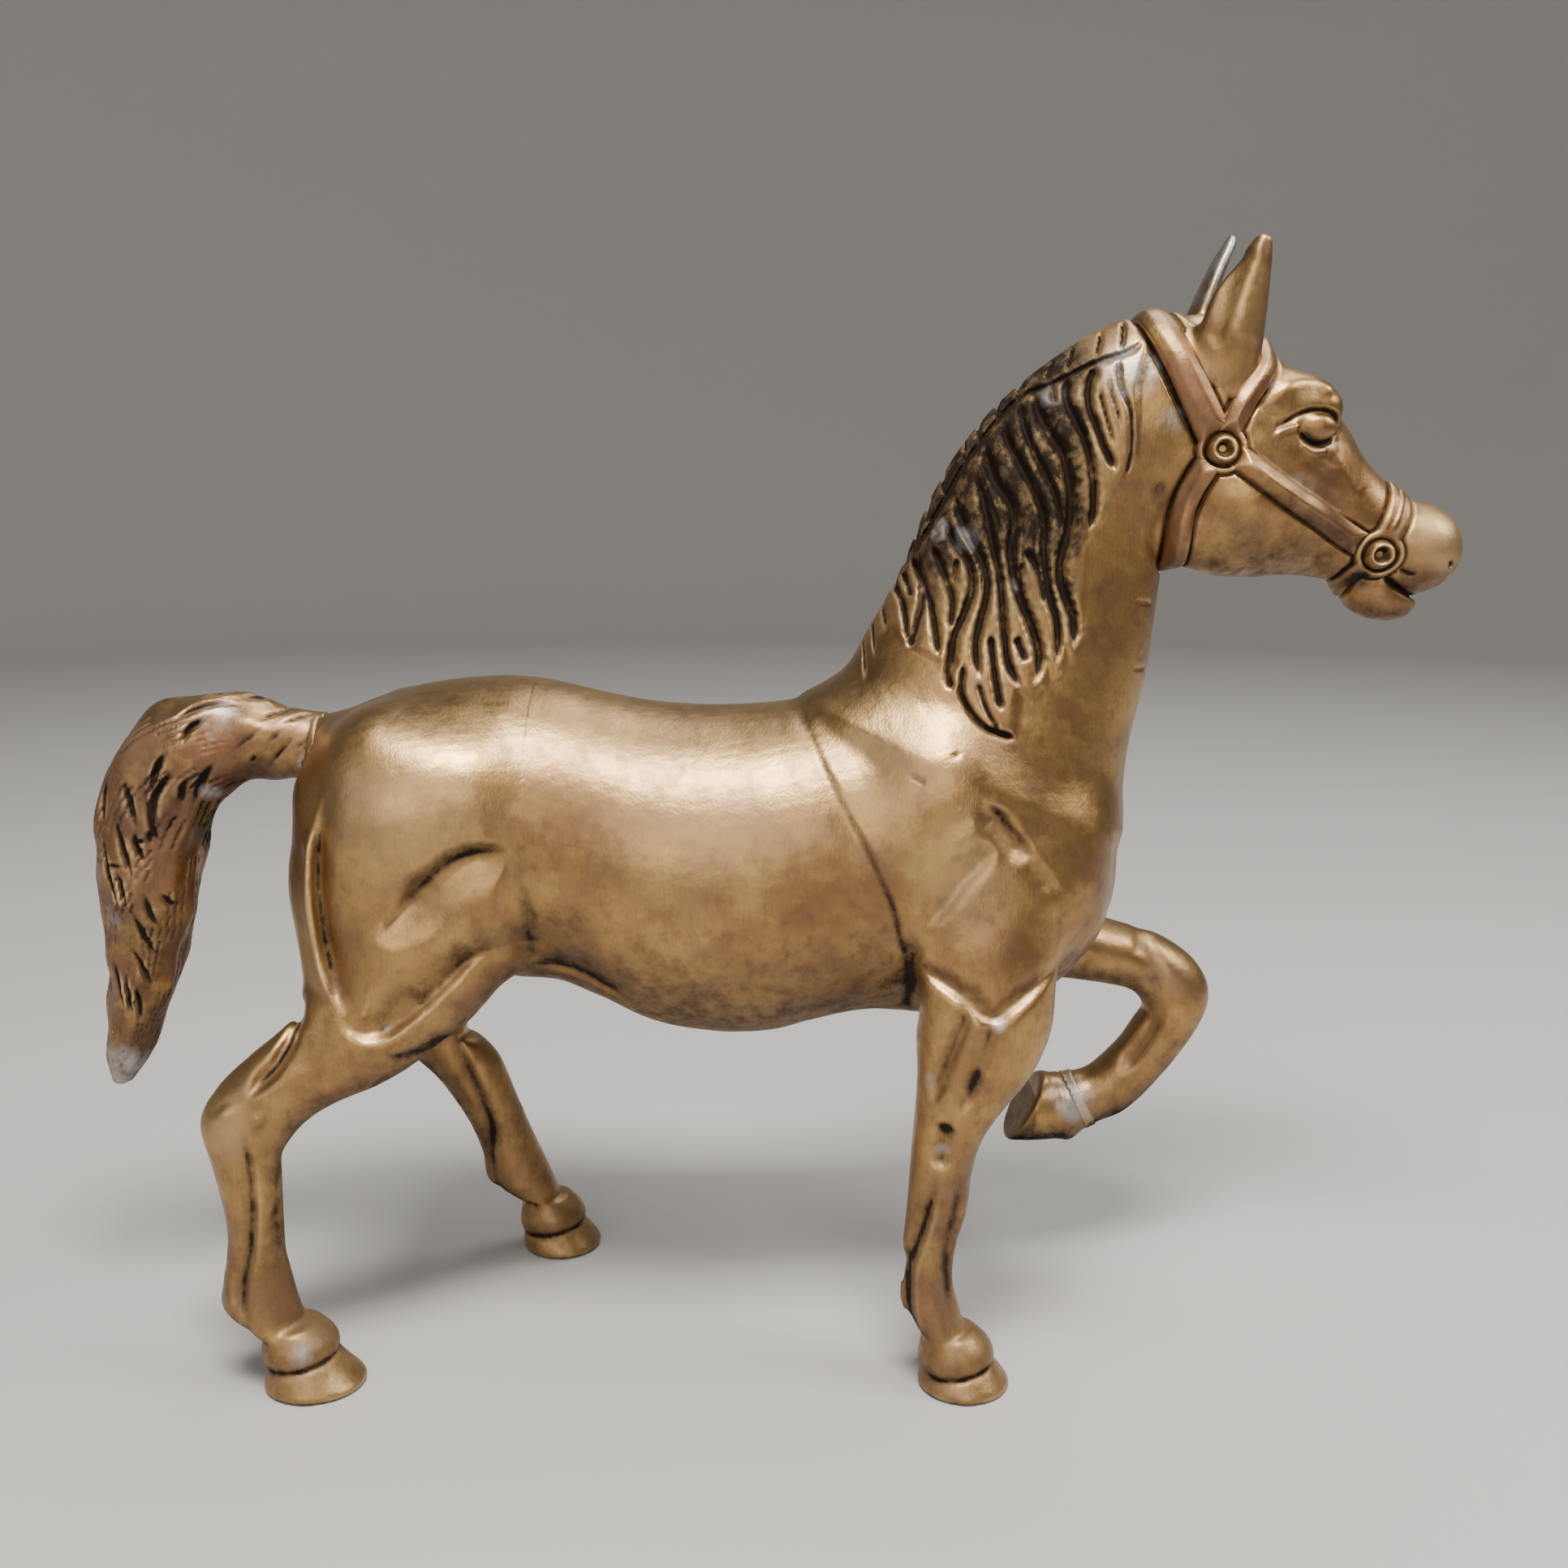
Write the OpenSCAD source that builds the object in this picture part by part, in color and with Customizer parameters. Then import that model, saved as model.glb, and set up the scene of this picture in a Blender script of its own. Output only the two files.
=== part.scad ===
// Walking horse statue with a bridle, cast in bronze as hollow body sections, solid legs and a
// solid tail, which are brazed together. The bridle straps and rings are brazed on the head.
// Millimetres. The horse faces +X, its left side is +Y, and its three standing hooves rest on z = 0.
// The origin is under the middle of the whole statue's box.

/* [Castings] */
// Wall of the hollow body castings
wall = 3.2; // [2.5:0.1:4]
// Sides of each body section, which are faceted
body_sides = 24; // [20:4:32]
// Sides of each leg section
leg_sides = 18; // [14:2:22]

/* [Bridle] */
// How far the straps stand proud of the head
strap_proud = 1.3; // [0.8:0.1:1.8]
// Width of the crownpiece behind the ears
crown_width = 6.2; // [4:0.1:7]
// Width of the browband and the throatlatch
thin_width = 4.6; // [3:0.1:5.5]
// Width of the cheekpieces and the noseband
cheek_width = 5.6; // [4:0.1:6.5]
// Outer radius of the rosettes
rosette_radius = 3.2; // [2.6:0.1:3.8]
// Outer radius of the bit rings
bit_ring_radius = 3.6; // [3:0.1:4.2]

/* [Brazing] */
// How far a brazed bead stands proud of the castings
bead_proud = 0.5; // [0.3:0.1:0.8]
// Width of a brazed bead
bead_width = 2.4; // [1.6:0.1:3.2]

/* [Stance] */
// Sideways distance from the middle to the centre of each standing hoof
hoof_track = 32; // [30:0.5:34]
// Half of a hoof's width
hoof_half = 10; // [9:0.5:11]

/* [Hidden] */

bronze = [0.55, 0.38, 0.20];
dark_bronze = [0.38, 0.27, 0.16];
braze = [0.62, 0.58, 0.50];

big = 400;
strap_bore = 2.8;
ring_thick = 2.2;

// Seam planes: a point [x, z] and the tilt of the plane's normal above +X, in degrees
flank_seam = [-49, 110, 0];
shoulder_seam = [10, 146, 24];
neck_seam = [13, 149, 75];
poll_seam = [89, 200, 0];
hind_seam_z = 88;
fore_seam_z = 90;
raised_seam_x = 68;

// A section is [x, y, z, tilt, half_depth, half_width]. Its normal is tilted above +X.
// The trunk's sections are upright and are given as [x, top, bottom, half_width].
trunk_profile = [
    [-100, 134, 90, 16], [-95, 143, 92, 25], [-84, 147.5, 92, 31], [-70, 150.6, 88, 33.5],
    [-54, 151.6, 83, 32], [-40, 148.8, 79, 31], [-22, 145.6, 72, 32], [-6, 145, 69.6, 32.5],
    [8, 147, 71.5, 32], [22, 150, 74.5, 31], [38, 151, 74.5, 30], [54, 148, 76, 28],
    [66, 142, 80, 24], [74, 134, 88, 18], [80, 122, 100, 9]
];
trunk = [for (s = trunk_profile) [s[0], 0, (s[1] + s[2]) / 2, 0, (s[1] - s[2]) / 2, s[3]]];

neck = [
    [40, 0, 124, 60, 36, 26], [46, 0, 135, 66, 37, 25], [52, 0, 151, 73, 31.5, 21.5],
    [58, 0, 167, 72, 28.5, 18], [62, 0, 180, 68, 26.5, 16], [66, 0, 190, 61, 25, 15],
    [72, 0, 199, 52, 23, 14.5], [80, 0, 206, 44, 21, 14], [90, 0, 210, 30, 18, 13]
];

head = [
    [88, 0, 211, -4, 18.5, 12.5], [94, 0, 207, -11, 21.5, 13.5], [101, 0, 199, -17, 24.5, 14.5],
    [111, 0, 194.5, -17, 22, 14.5], [119, 0, 191.6, -12, 18.4, 12.5],
    [125.5, 0, 186.2, -12, 14, 10.5], [132, 0, 181.3, -13, 13.4, 10],
    [140, 0, 176.8, -12, 12.6, 11], [147.5, 0, 177.5, -10, 8.4, 9], [151.6, 0, 178, -10, 3, 4.5]
];

tail = [
    [-96, 0, 135, 175, 7.5, 7], [-104, 0, 136.5, 172, 8.4, 7.5], [-113, 0, 138, 180, 9.6, 8.5],
    [-122, 0, 137, 200, 11, 9.5], [-131, 0, 132, 225, 13, 10.5],
    [-137.4, 0, 122, 250, 12.6, 11], [-139.9, 0, 110, 262, 11.6, 11],
    [-141.3, 0, 96, 264, 10.4, 10], [-143.2, 0, 82, 262, 8.2, 8], [-146.6, 0, 70, 260, 5.5, 5.5],
    [-149.6, 0, 60, 256, 2.6, 2.6], [-150.2, 0, 56.5, 256, 1, 1]
];

// Each leg has the sections above its seam, which are cast with the body, and those below it.
right_forearm = [[44, -14, 122, 90, 17, 9], [46, -20, 106, 90, 17, 10.5]];
fore_seam_section = [47, -25, fore_seam_z, 90, 14.6, 10.5];
right_fore_sections = [
    fore_seam_section, [46.6, -26, 80, 90, 14.2, 10], [45, -27, 71, 90, 12.4, 9.2],
    [42, -28, 63, 90, 9, 8.2], [39.6, -28.6, 56, 90, 7.8, 7.6], [38.4, -29, 49, 90, 7, 7],
    [37.6, -29.6, 40, 90, 6.3, 5.8], [36, -30, 31, 90, 5.8, 5.4], [35.8, -30.4, 24, 90, 6, 5.8],
    [36.6, -30.8, 17, 85, 6.4, 6.4], [39.2, -31.2, 11, 70, 6.2, 6.4]
];
right_thigh = [[-76, -12, 124, 90, 22, 17], [-77, -17, 106, 90, 23, 15]];
hind_seam_section = [-79, -20, hind_seam_z, 90, 21, 12.5];
hind_sections = [
    hind_seam_section, [-84, -21.5, 80, 74, 18.5, 11.5], [-91.5, -23.5, 73.5, 54, 14, 10],
    [-99.5, -25.5, 67, 48, 11.4, 8.6], [-107, -27, 61.5, 60, 10.8, 7.8],
    [-110.5, -28, 54, 80, 9, 7], [-110.4, -28.8, 45, 90, 7.2, 6.2],
    [-109.6, -29.6, 36, 90, 6.6, 5.8], [-109.4, -30.4, 26, 92, 7, 6],
    [-109, -31, 17, 85, 8.2, 7], [-105, -31.5, 10.5, 66, 7.2, 7]
];
// The left hind leg stands further forward, so its lower sections differ.
left_hind_sections = [
    [-79, 20, hind_seam_z, 90, 21, 12.5], [-80, 22, 80, 80, 17, 11.5], [-82, 24, 72, 72, 12.5, 9.5],
    [-82.5, 26, 64, 74, 10.6, 8.2], [-80, 27.5, 56, 96, 9.4, 7.2], [-75.5, 28.5, 48, 106, 7.8, 6.4],
    [-70.8, 29.5, 38, 106, 6.8, 5.8], [-66.8, 30.5, 28, 104, 6.9, 6], [-63.5, 31.2, 19, 96, 8, 7],
    [-59.5, 31.7, 12, 70, 7.2, 7]
];
left_forearm = [[46, 14, 100, -10, 14, 8], [56, 19, 90, -12, 12.5, 9.5]];
raised_seam_section = [raised_seam_x, 21, 83.5, -10, 8.6, 9];
raised_sections = [
    raised_seam_section, [80, 22.4, 81, -8, 7, 8.2], [92, 23, 78, -18, 6.6, 7.6],
    [100.5, 23, 73.5, -55, 7.6, 7.4], [102, 23, 67, -105, 7.2, 7.2], [98, 23, 60.5, -125, 5.4, 6],
    [92.5, 23, 53, -126, 4.8, 5.2], [88, 23, 47.5, -132, 5.4, 5.8], [83, 23, 43.4, -155, 6, 6.4],
    [78, 23, 42, -190, 5.6, 6.2]
];
// Where the raised foot is brazed on: the last section of the raised leg
foot_seam_section = raised_sections[len(raised_sections) - 1];
foot_sections = [
    foot_seam_section, [73, 23, 41.6, -203, 7.8, 8.2], [63, 23, 41.6, -209.5, 9.6, 9.6]
];

tail_seam_x = -102.5;

// Muscles are ball pairs: [x, y, z, radius] twice, for the right side. They are mirrored.
muscles = [
    [[-72, -17, 122, 17], [-84, -15, 108, 15]],
    [[-70, -19, 104, 15], [-82, -16, 128, 14]],
    [[-92, -12, 126, 10], [-92, -13, 100, 10]],
    [[40, -14, 124, 16], [58, -15, 106, 13]],
    [[30, -16, 108, 14], [46, -18, 96, 11]],
    [[66, -11, 112, 12], [66, -10, 98, 11]]
];
cheek = [[101, -6, 193, 9], [110, -5.5, 190, 9.5]];
brow = [[110, -8.5, 209, 3.6], [117, -7.6, 208, 3.2]];
lower_lip = [[131, -3, 170, 4], [140, -3, 168.8, 3.4]];
nostril_rim = [[145, -6, 181, 3.4], [148, -5, 177, 3]];

// Strap routes on the right side of the head, as [x, z]
rosette_place = [96, 201];
bit_place = [130, 179];
poll_place = [82, 229];
forehead_place = [106, 224];
throat_place = [88, 176];
nose_place = [133.5, 196];
chin_place = [127, 168];
rosette_side = 14.2;
bit_side = 10.6;
strap_end = 8;

// The mane stands off the neck's right side and over its crest.
mane_locks = [
    [[84, -5, 222, 6], [76, -11, 196, 4]], [[72, -5, 218, 6], [72, -13, 180, 4]],
    [[60, -5, 213, 6], [66, -14, 166, 4]], [[50, -5, 204, 6], [60, -17, 156, 4]],
    [[41, -5, 193, 6], [53, -19, 146, 4]], [[33, -5, 179, 6], [44, -20, 152, 4]],
    [[26, -5, 165, 5.5], [32, -20, 156, 4]]
];

function blend4(a, b, c, d, t) =
    0.5 * (2 * b + (c - a) * t + (2 * a - 5 * b + 4 * c - d) * t * t
           + (3 * b - a - 3 * c + d) * t * t * t);
function station(s, i) = s[max(0, min(len(s) - 1, i))];
function refined(s, steps = 2) = concat(
    [for (i = [0:len(s) - 2], k = [0:steps - 1])
        blend4(station(s, i - 1), s[i], s[i + 1], station(s, i + 2), k / steps)],
    [s[len(s) - 1]]
);
function ring_point(s, angle, grow) =
    let (up = (s[4] + grow) * cos(angle), across = (s[5] + grow) * sin(angle))
    [s[0] - up * sin(s[3]), s[1] + across, s[2] + up * cos(s[3])];

// A closed skin over the sections, which may be grown or, with a negative grow, shrunk
module loft(sections, sides, grow = 0) {
    rings = refined(sections);
    count = len(rings);
    run = [rings[1][0] - rings[0][0], rings[1][2] - rings[0][2]];
    forward = run * [cos(rings[0][3]), sin(rings[0][3])] > 0;
    points = [for (s = rings, k = [0:sides - 1]) ring_point(s, 360 * k / sides, grow)];
    skin = [for (i = [0:count - 2], k = [0:sides - 1])
        let (a = i * sides + k, b = i * sides + (k + 1) % sides)
        each [[a, b, b + sides], [a, b + sides, a + sides]]];
    first_cap = [for (k = [sides - 1:-1:0]) k];
    last_cap = [for (k = [0:sides - 1]) (count - 1) * sides + k];
    faces = concat(skin, [first_cap], [last_cap]);
    polyhedron(points, forward ? faces : [for (f = faces) [for (k = [len(f) - 1:-1:0]) f[k]]],
               convexity = 6);
}

module both_sides() {
    children();
    mirror([0, 1, 0]) children();
}

module ball_pair(pair, grow = 0) {
    hull()
        for (ball = pair)
            translate([ball[0], ball[1], ball[2]])
                sphere(ball[3] + grow, $fn = 16);
}

// Everything on the normal's side of a seam plane
module beyond(plane, shift = 0) {
    translate([plane[0], 0, plane[1]])
        rotate([0, -plane[2], 0])
            translate([shift, -big / 2, -big / 2])
                cube(big);
}

// A slab of this width whose middle is the line between two [x, z] places. It may go past the second.
module slab(from, to, width, past = 0) {
    run = to - from;
    translate([from[0], 0, from[1]])
        rotate([0, -atan2(run[1], run[0]), 0])
            translate([0, -big / 2, -width / 2])
                cube([norm(run) + past, big, width]);
}

module upper_legs() {
    loft(concat(right_forearm, [fore_seam_section]), leg_sides);
    both_sides() loft(concat(right_thigh, [hind_seam_section]), leg_sides);
    loft(concat(left_forearm, [raised_seam_section]), leg_sides);
}

// The body and neck without the head, as a solid
module body_form(grow = 0) {
    loft(trunk, body_sides, grow);
    loft(neck, body_sides, grow);
    both_sides() for (pair = muscles) ball_pair(pair, grow);
}

module body_cavity() {
    difference() {
        union() {
            loft(trunk, body_sides, -wall);
            loft(neck, body_sides, -wall);
        }
        beyond([trunk[0][0] + wall, 0, 180]);
        beyond([trunk[len(trunk) - 1][0] - wall, 110, 0]);
    }
}

module body_shell(with_mane = false) {
    difference() {
        union() {
            body_form();
            upper_legs();
            if (with_mane) mane();
        }
        body_cavity();
    }
}

module head_form(grow = 0) {
    loft(head, body_sides, grow);
    both_sides()
        for (pair = [cheek, brow, lower_lip, nostril_rim]) ball_pair(pair, grow);
}

module mane() {
    for (pair = mane_locks) ball_pair(pair);
}

module barrel_casting() {
    color(bronze)
        difference() {
            body_shell();
            beyond([flank_seam[0], flank_seam[1], 180]);
            beyond(shoulder_seam);
        }
}

module forehand_casting() {
    color(bronze)
        difference() {
            intersection() {
                body_shell();
                beyond(shoulder_seam);
            }
            beyond(neck_seam);
        }
}

module hindquarter_casting() {
    color(bronze)
        difference() {
            body_shell();
            beyond(flank_seam);
        }
}

module neck_casting() {
    color(bronze)
        difference() {
            intersection() {
                body_shell(with_mane = true);
                beyond(neck_seam);
            }
            beyond(poll_seam);
        }
}

module head_casting() {
    color(bronze)
        difference() {
            intersection() {
                head_form();
                beyond(poll_seam);
            }
            difference() {
                loft(head, body_sides, -wall);
                beyond([138, 176, -12]);
            }
        }
}

// The right ear, which may lean back and rise further. Its foot is cut to the head.
module ear(lean, rise) {
    color(bronze)
        difference() {
            hull() {
                translate([94, -7, 223]) scale([1, 0.7, 1]) sphere(4.6, $fn = 24);
                translate([98 + lean, -9, 233]) scale([0.8, 0.6, 1]) sphere(4, $fn = 24);
                translate([101.4 + lean, -9.5, 241.6 + rise]) sphere(1, $fn = 24);
            }
            head_form();
            body_form();
        }
}

module right_ear() {
    ear(0, 0);
}

module left_ear() {
    mirror([0, 1, 0]) ear(-2, 3);
}

module tail_casting() {
    color(dark_bronze)
        difference() {
            loft(tail, leg_sides);
            body_form();
        }
}

// A standing leg ends in a hoof, from its coronet to its flat sole on the ground.
module standing_leg(sections, top_x, side, sole_x) {
    coronet = [top_x, side, 9, 90, hoof_half * 0.78, hoof_half * 0.78];
    toe = [(top_x + sole_x) / 2, side, 4.5, 90, hoof_half * 0.9, hoof_half * 0.9];
    sole = [sole_x, side, 0, 90, hoof_half * 1.02, hoof_half];
    color(bronze) loft(concat(sections, [coronet, toe, sole]), leg_sides);
}

module right_fore_leg() {
    standing_leg(right_fore_sections, 41, -hoof_track, 43.5);
}

module right_hind_leg() {
    standing_leg(hind_sections, -102, -hoof_track, -99);
}

module left_hind_leg() {
    standing_leg(left_hind_sections, -56.5, hoof_track, -53);
}

module left_fore_leg() {
    color(bronze) loft(raised_sections, leg_sides);
}

module left_fore_foot() {
    color(bronze) loft(foot_sections, leg_sides);
}

// A strap lies on the head and the neck between two places, on both sides at once.
module strap(from, to, width, past = 0) {
    difference() {
        intersection() {
            union() {
                head_form(strap_proud);
                body_form(strap_proud);
            }
            slab(from, to, width, past);
        }
        head_form();
        body_form();
    }
}

module ring_clearance() {
    both_sides() {
        translate([rosette_place[0], -big / 2, rosette_place[1]])
            rotate([-90, 0, 0]) cylinder(r = rosette_radius, h = big / 2, $fn = 48);
        translate([bit_place[0], -big / 2, bit_place[1]])
            rotate([-90, 0, 0]) cylinder(r = bit_ring_radius, h = big / 2, $fn = 48);
    }
}

module crownpiece() {
    color(dark_bronze)
        difference() {
            strap(rosette_place, poll_place, crown_width, strap_end);
            ring_clearance();
        }
}

module browband() {
    color(dark_bronze)
        difference() {
            strap(rosette_place, forehead_place, thin_width, strap_end);
            slab(rosette_place, poll_place, crown_width, strap_end);
            ring_clearance();
        }
}

module throatlatch() {
    color(dark_bronze)
        difference() {
            strap(rosette_place, throat_place, thin_width, strap_end);
            slab(rosette_place, poll_place, crown_width, strap_end);
            ring_clearance();
        }
}

module noseband_loop() {
    strap(bit_place, nose_place, cheek_width, strap_end);
    strap(bit_place, chin_place, cheek_width, strap_end);
}

module noseband() {
    color(dark_bronze)
        difference() {
            noseband_loop();
            ring_clearance();
        }
}

module cheekpiece() {
    color(dark_bronze)
        difference() {
            intersection() {
                strap(rosette_place, bit_place, cheek_width);
                translate([0, -big, 0]) cube(big);
            }
            slab(rosette_place, poll_place, crown_width, strap_end);
            slab(bit_place, nose_place, cheek_width, strap_end);
            slab(bit_place, chin_place, cheek_width, strap_end);
            slab(rosette_place, throat_place, thin_width, strap_end);
            slab(rosette_place, forehead_place, thin_width, strap_end);
            ring_clearance();
        }
}

module right_cheekpiece() {
    cheekpiece();
}

module left_cheekpiece() {
    mirror([0, 1, 0]) cheekpiece();
}

module strap_ring(place, side, radius) {
    color(bronze)
        translate([place[0], -side, place[1]])
            rotate([90, 0, 0])
                difference() {
                    cylinder(r = radius, h = ring_thick, $fn = 48);
                    translate([0, 0, -1]) cylinder(d = strap_bore, h = ring_thick + 2, $fn = 48);
                }
}

module right_rosette() {
    strap_ring(rosette_place, rosette_side, rosette_radius);
}

module left_rosette() {
    mirror([0, 1, 0]) strap_ring(rosette_place, rosette_side, rosette_radius);
}

module right_bit_ring() {
    strap_ring(bit_place, bit_side, bit_ring_radius);
}

module left_bit_ring() {
    mirror([0, 1, 0]) strap_ring(bit_place, bit_side, bit_ring_radius);
}

// A bead over a seam plane of the body
module seam_bead(plane) {
    color(braze)
        difference() {
            intersection() {
                body_form(bead_proud);
                beyond(plane, -bead_width / 2);
            }
            beyond(plane, bead_width / 2);
            body_form();
            upper_legs();
        }
}

module shoulder_seam_braze() {
    seam_bead(shoulder_seam);
}

module flank_seam_braze() {
    seam_bead(flank_seam);
}

// What lies between two flat levels
module between_levels(low, high) {
    translate([-big / 2, -big / 2, low]) cube([big, big, high - low]);
}

module right_elbow_braze() {
    seam_sections = [right_forearm[1], fore_seam_section, right_fore_sections[1]];
    color(braze)
        difference() {
            intersection() {
                loft(seam_sections, leg_sides, bead_proud);
                between_levels(fore_seam_z - bead_width / 2, fore_seam_z + bead_width / 2);
            }
            loft(right_fore_sections, leg_sides);
            body_form();
            upper_legs();
        }
}

module tail_root_braze() {
    color(braze)
        difference() {
            intersection() {
                loft(tail, leg_sides, 2 * bead_proud);
                beyond([tail_seam_x - bead_width, 135, 0]);
            }
            loft(tail, leg_sides);
            body_form();
        }
}

// A round bead where the raised foot is brazed to the leg
module pastern_braze() {
    above = raised_sections[len(raised_sections) - 2];
    place = [foot_seam_section[0], foot_seam_section[1], foot_seam_section[2]];
    pastern_radius = (foot_seam_section[4] + foot_seam_section[5]) / 2;
    color(braze)
        difference() {
            translate(place)
                rotate([0, 90 - foot_seam_section[3], 0])
                    rotate_extrude()
                        translate([pastern_radius, 0])
                            circle(d = bead_width);
            loft([above, foot_seam_section, foot_sections[1]], leg_sides);
        }
}

barrel_casting();
forehand_casting();
hindquarter_casting();
neck_casting();
head_casting();
right_ear();
left_ear();
tail_casting();
right_fore_leg();
left_fore_leg();
left_fore_foot();
right_hind_leg();
left_hind_leg();
crownpiece();
browband();
throatlatch();
noseband();
right_cheekpiece();
left_cheekpiece();
right_rosette();
left_rosette();
right_bit_ring();
left_bit_ring();
shoulder_seam_braze();
flank_seam_braze();
right_elbow_braze();
tail_root_braze();
pastern_braze();
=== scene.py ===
"""A bronze horse statue, sculpted casting by casting as signed distances in millimetres, then meshed."""

import math

import bpy
import numpy as np
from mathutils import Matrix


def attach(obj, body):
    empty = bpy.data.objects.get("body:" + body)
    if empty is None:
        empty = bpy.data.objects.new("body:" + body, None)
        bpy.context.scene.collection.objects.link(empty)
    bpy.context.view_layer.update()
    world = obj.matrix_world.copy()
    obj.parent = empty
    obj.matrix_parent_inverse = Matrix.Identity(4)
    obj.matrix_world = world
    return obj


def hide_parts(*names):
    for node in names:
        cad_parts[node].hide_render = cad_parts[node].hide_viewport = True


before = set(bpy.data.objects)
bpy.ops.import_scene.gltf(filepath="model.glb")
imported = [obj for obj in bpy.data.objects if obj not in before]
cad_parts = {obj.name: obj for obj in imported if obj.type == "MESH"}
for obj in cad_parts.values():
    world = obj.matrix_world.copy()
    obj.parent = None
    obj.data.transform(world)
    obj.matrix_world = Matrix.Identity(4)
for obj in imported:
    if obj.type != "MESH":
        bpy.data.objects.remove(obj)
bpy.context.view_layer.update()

import openvdb
from mathutils import Vector

MM = 0.001
BAND = 6.0  # how far from a surface its distance is known, mm
LAP = 1.5  # how far a casting runs on under its neighbour at a joint, mm
SINK = 0.03  # how deep under the neighbour's skin it does so, mm
COARSEN = 1
MOST_FACES = 190000  # triangles in one piece
NARROW = 1.3  # cuts up to this half-width have uneven edges, mm


# ---------------------------------------------------------------- curves and lofts


def smooth_line(points, steps=6):
    """A Catmull-Rom curve through the points."""
    points = np.array(points, float)
    if len(points) < 3:
        return points
    ends = np.vstack([points[:1], points, points[-1:]])
    t = np.linspace(0, 1, steps, endpoint=False)[:, None]
    out = []
    for a, b, c, d in zip(ends, ends[1:], ends[2:], ends[3:]):
        bend = 2 * a - 5 * b + 4 * c - d
        out.append(0.5 * (2 * b + (c - a) * t + bend * t**2 + (3 * b - a - 3 * c + d) * t**3))
    return np.vstack(out + [points[-1:]])


def resample(line, count):
    """The same line with this many evenly spaced points."""
    line = np.array(line, float)
    run = np.concatenate([[0], np.cumsum(np.linalg.norm(np.diff(line, axis=0), axis=1))])
    at = np.linspace(0, run[-1], count)
    return np.stack([np.interp(at, run, line[:, i]) for i in range(line.shape[1])], 1)


def loft(rings, sides=72):
    """A closed skin over rings (x, y, z, tilt, half_depth, half_width), as points, quads and triangles."""
    turn = np.linspace(0, 2 * math.pi, sides, endpoint=False)
    x, y, z, tilt, depth, width = (rings[:, i : i + 1] for i in range(6))
    tilt = np.radians(tilt)
    up = depth * np.cos(turn)
    skin = np.stack([x - up * np.sin(tilt), y + width * np.sin(turn), z + up * np.cos(tilt)], 2)
    points = np.vstack([skin.reshape(-1, 3), rings[:1, :3], rings[-1:, :3]])
    k = np.arange(sides)
    after = (k + 1) % sides
    start = np.arange(len(rings) - 1)[:, None] * sides
    a, b = start + k, start + after
    quads = np.stack([a, b, b + sides, a + sides], 2).reshape(-1, 4)
    last = (len(rings) - 1) * sides
    hub = np.full(sides, len(points) - 2)
    caps = np.vstack([np.stack([hub, after, k], 1), np.stack([hub + 1, last + k, last + after], 1)])
    run = rings[1, [0, 2]] - rings[0, [0, 2]]
    heading = [math.cos(tilt[0, 0]), math.sin(tilt[0, 0])]
    if run @ heading > 0:
        quads = quads[:, ::-1]
        caps = caps[:, ::-1]
    return points, quads, caps


def upright(profile):
    """Sections (x, top, bottom, half_width) that stand across the body."""
    return [(x, 0, (top + low) / 2, 0, (top - low) / 2, wide) for x, top, low, wide in profile]


# ---------------------------------------------------------------- distances on a grid


def soft_min(a, b, blend):
    """The smaller of two fields, rounded over where they are about equal."""
    h = np.clip(0.5 + 0.5 * (b - a) / blend, 0, 1)
    return b + (a - b) * h - blend * h * (1 - h)


def soft_max(a, b, blend):
    return -soft_min(-a, -b, blend)


def overlap(first, *others):
    """The region that is inside every one of these signed distances."""
    for other in others:
        first = np.maximum(first, other)
    return first


def smooth_step(low, high, x):
    """From 0 at low to 1 at high, levelling off at both ends."""
    t = np.clip((x - low) / (high - low), 0, 1)
    return t * t * (3 - 2 * t)


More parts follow.
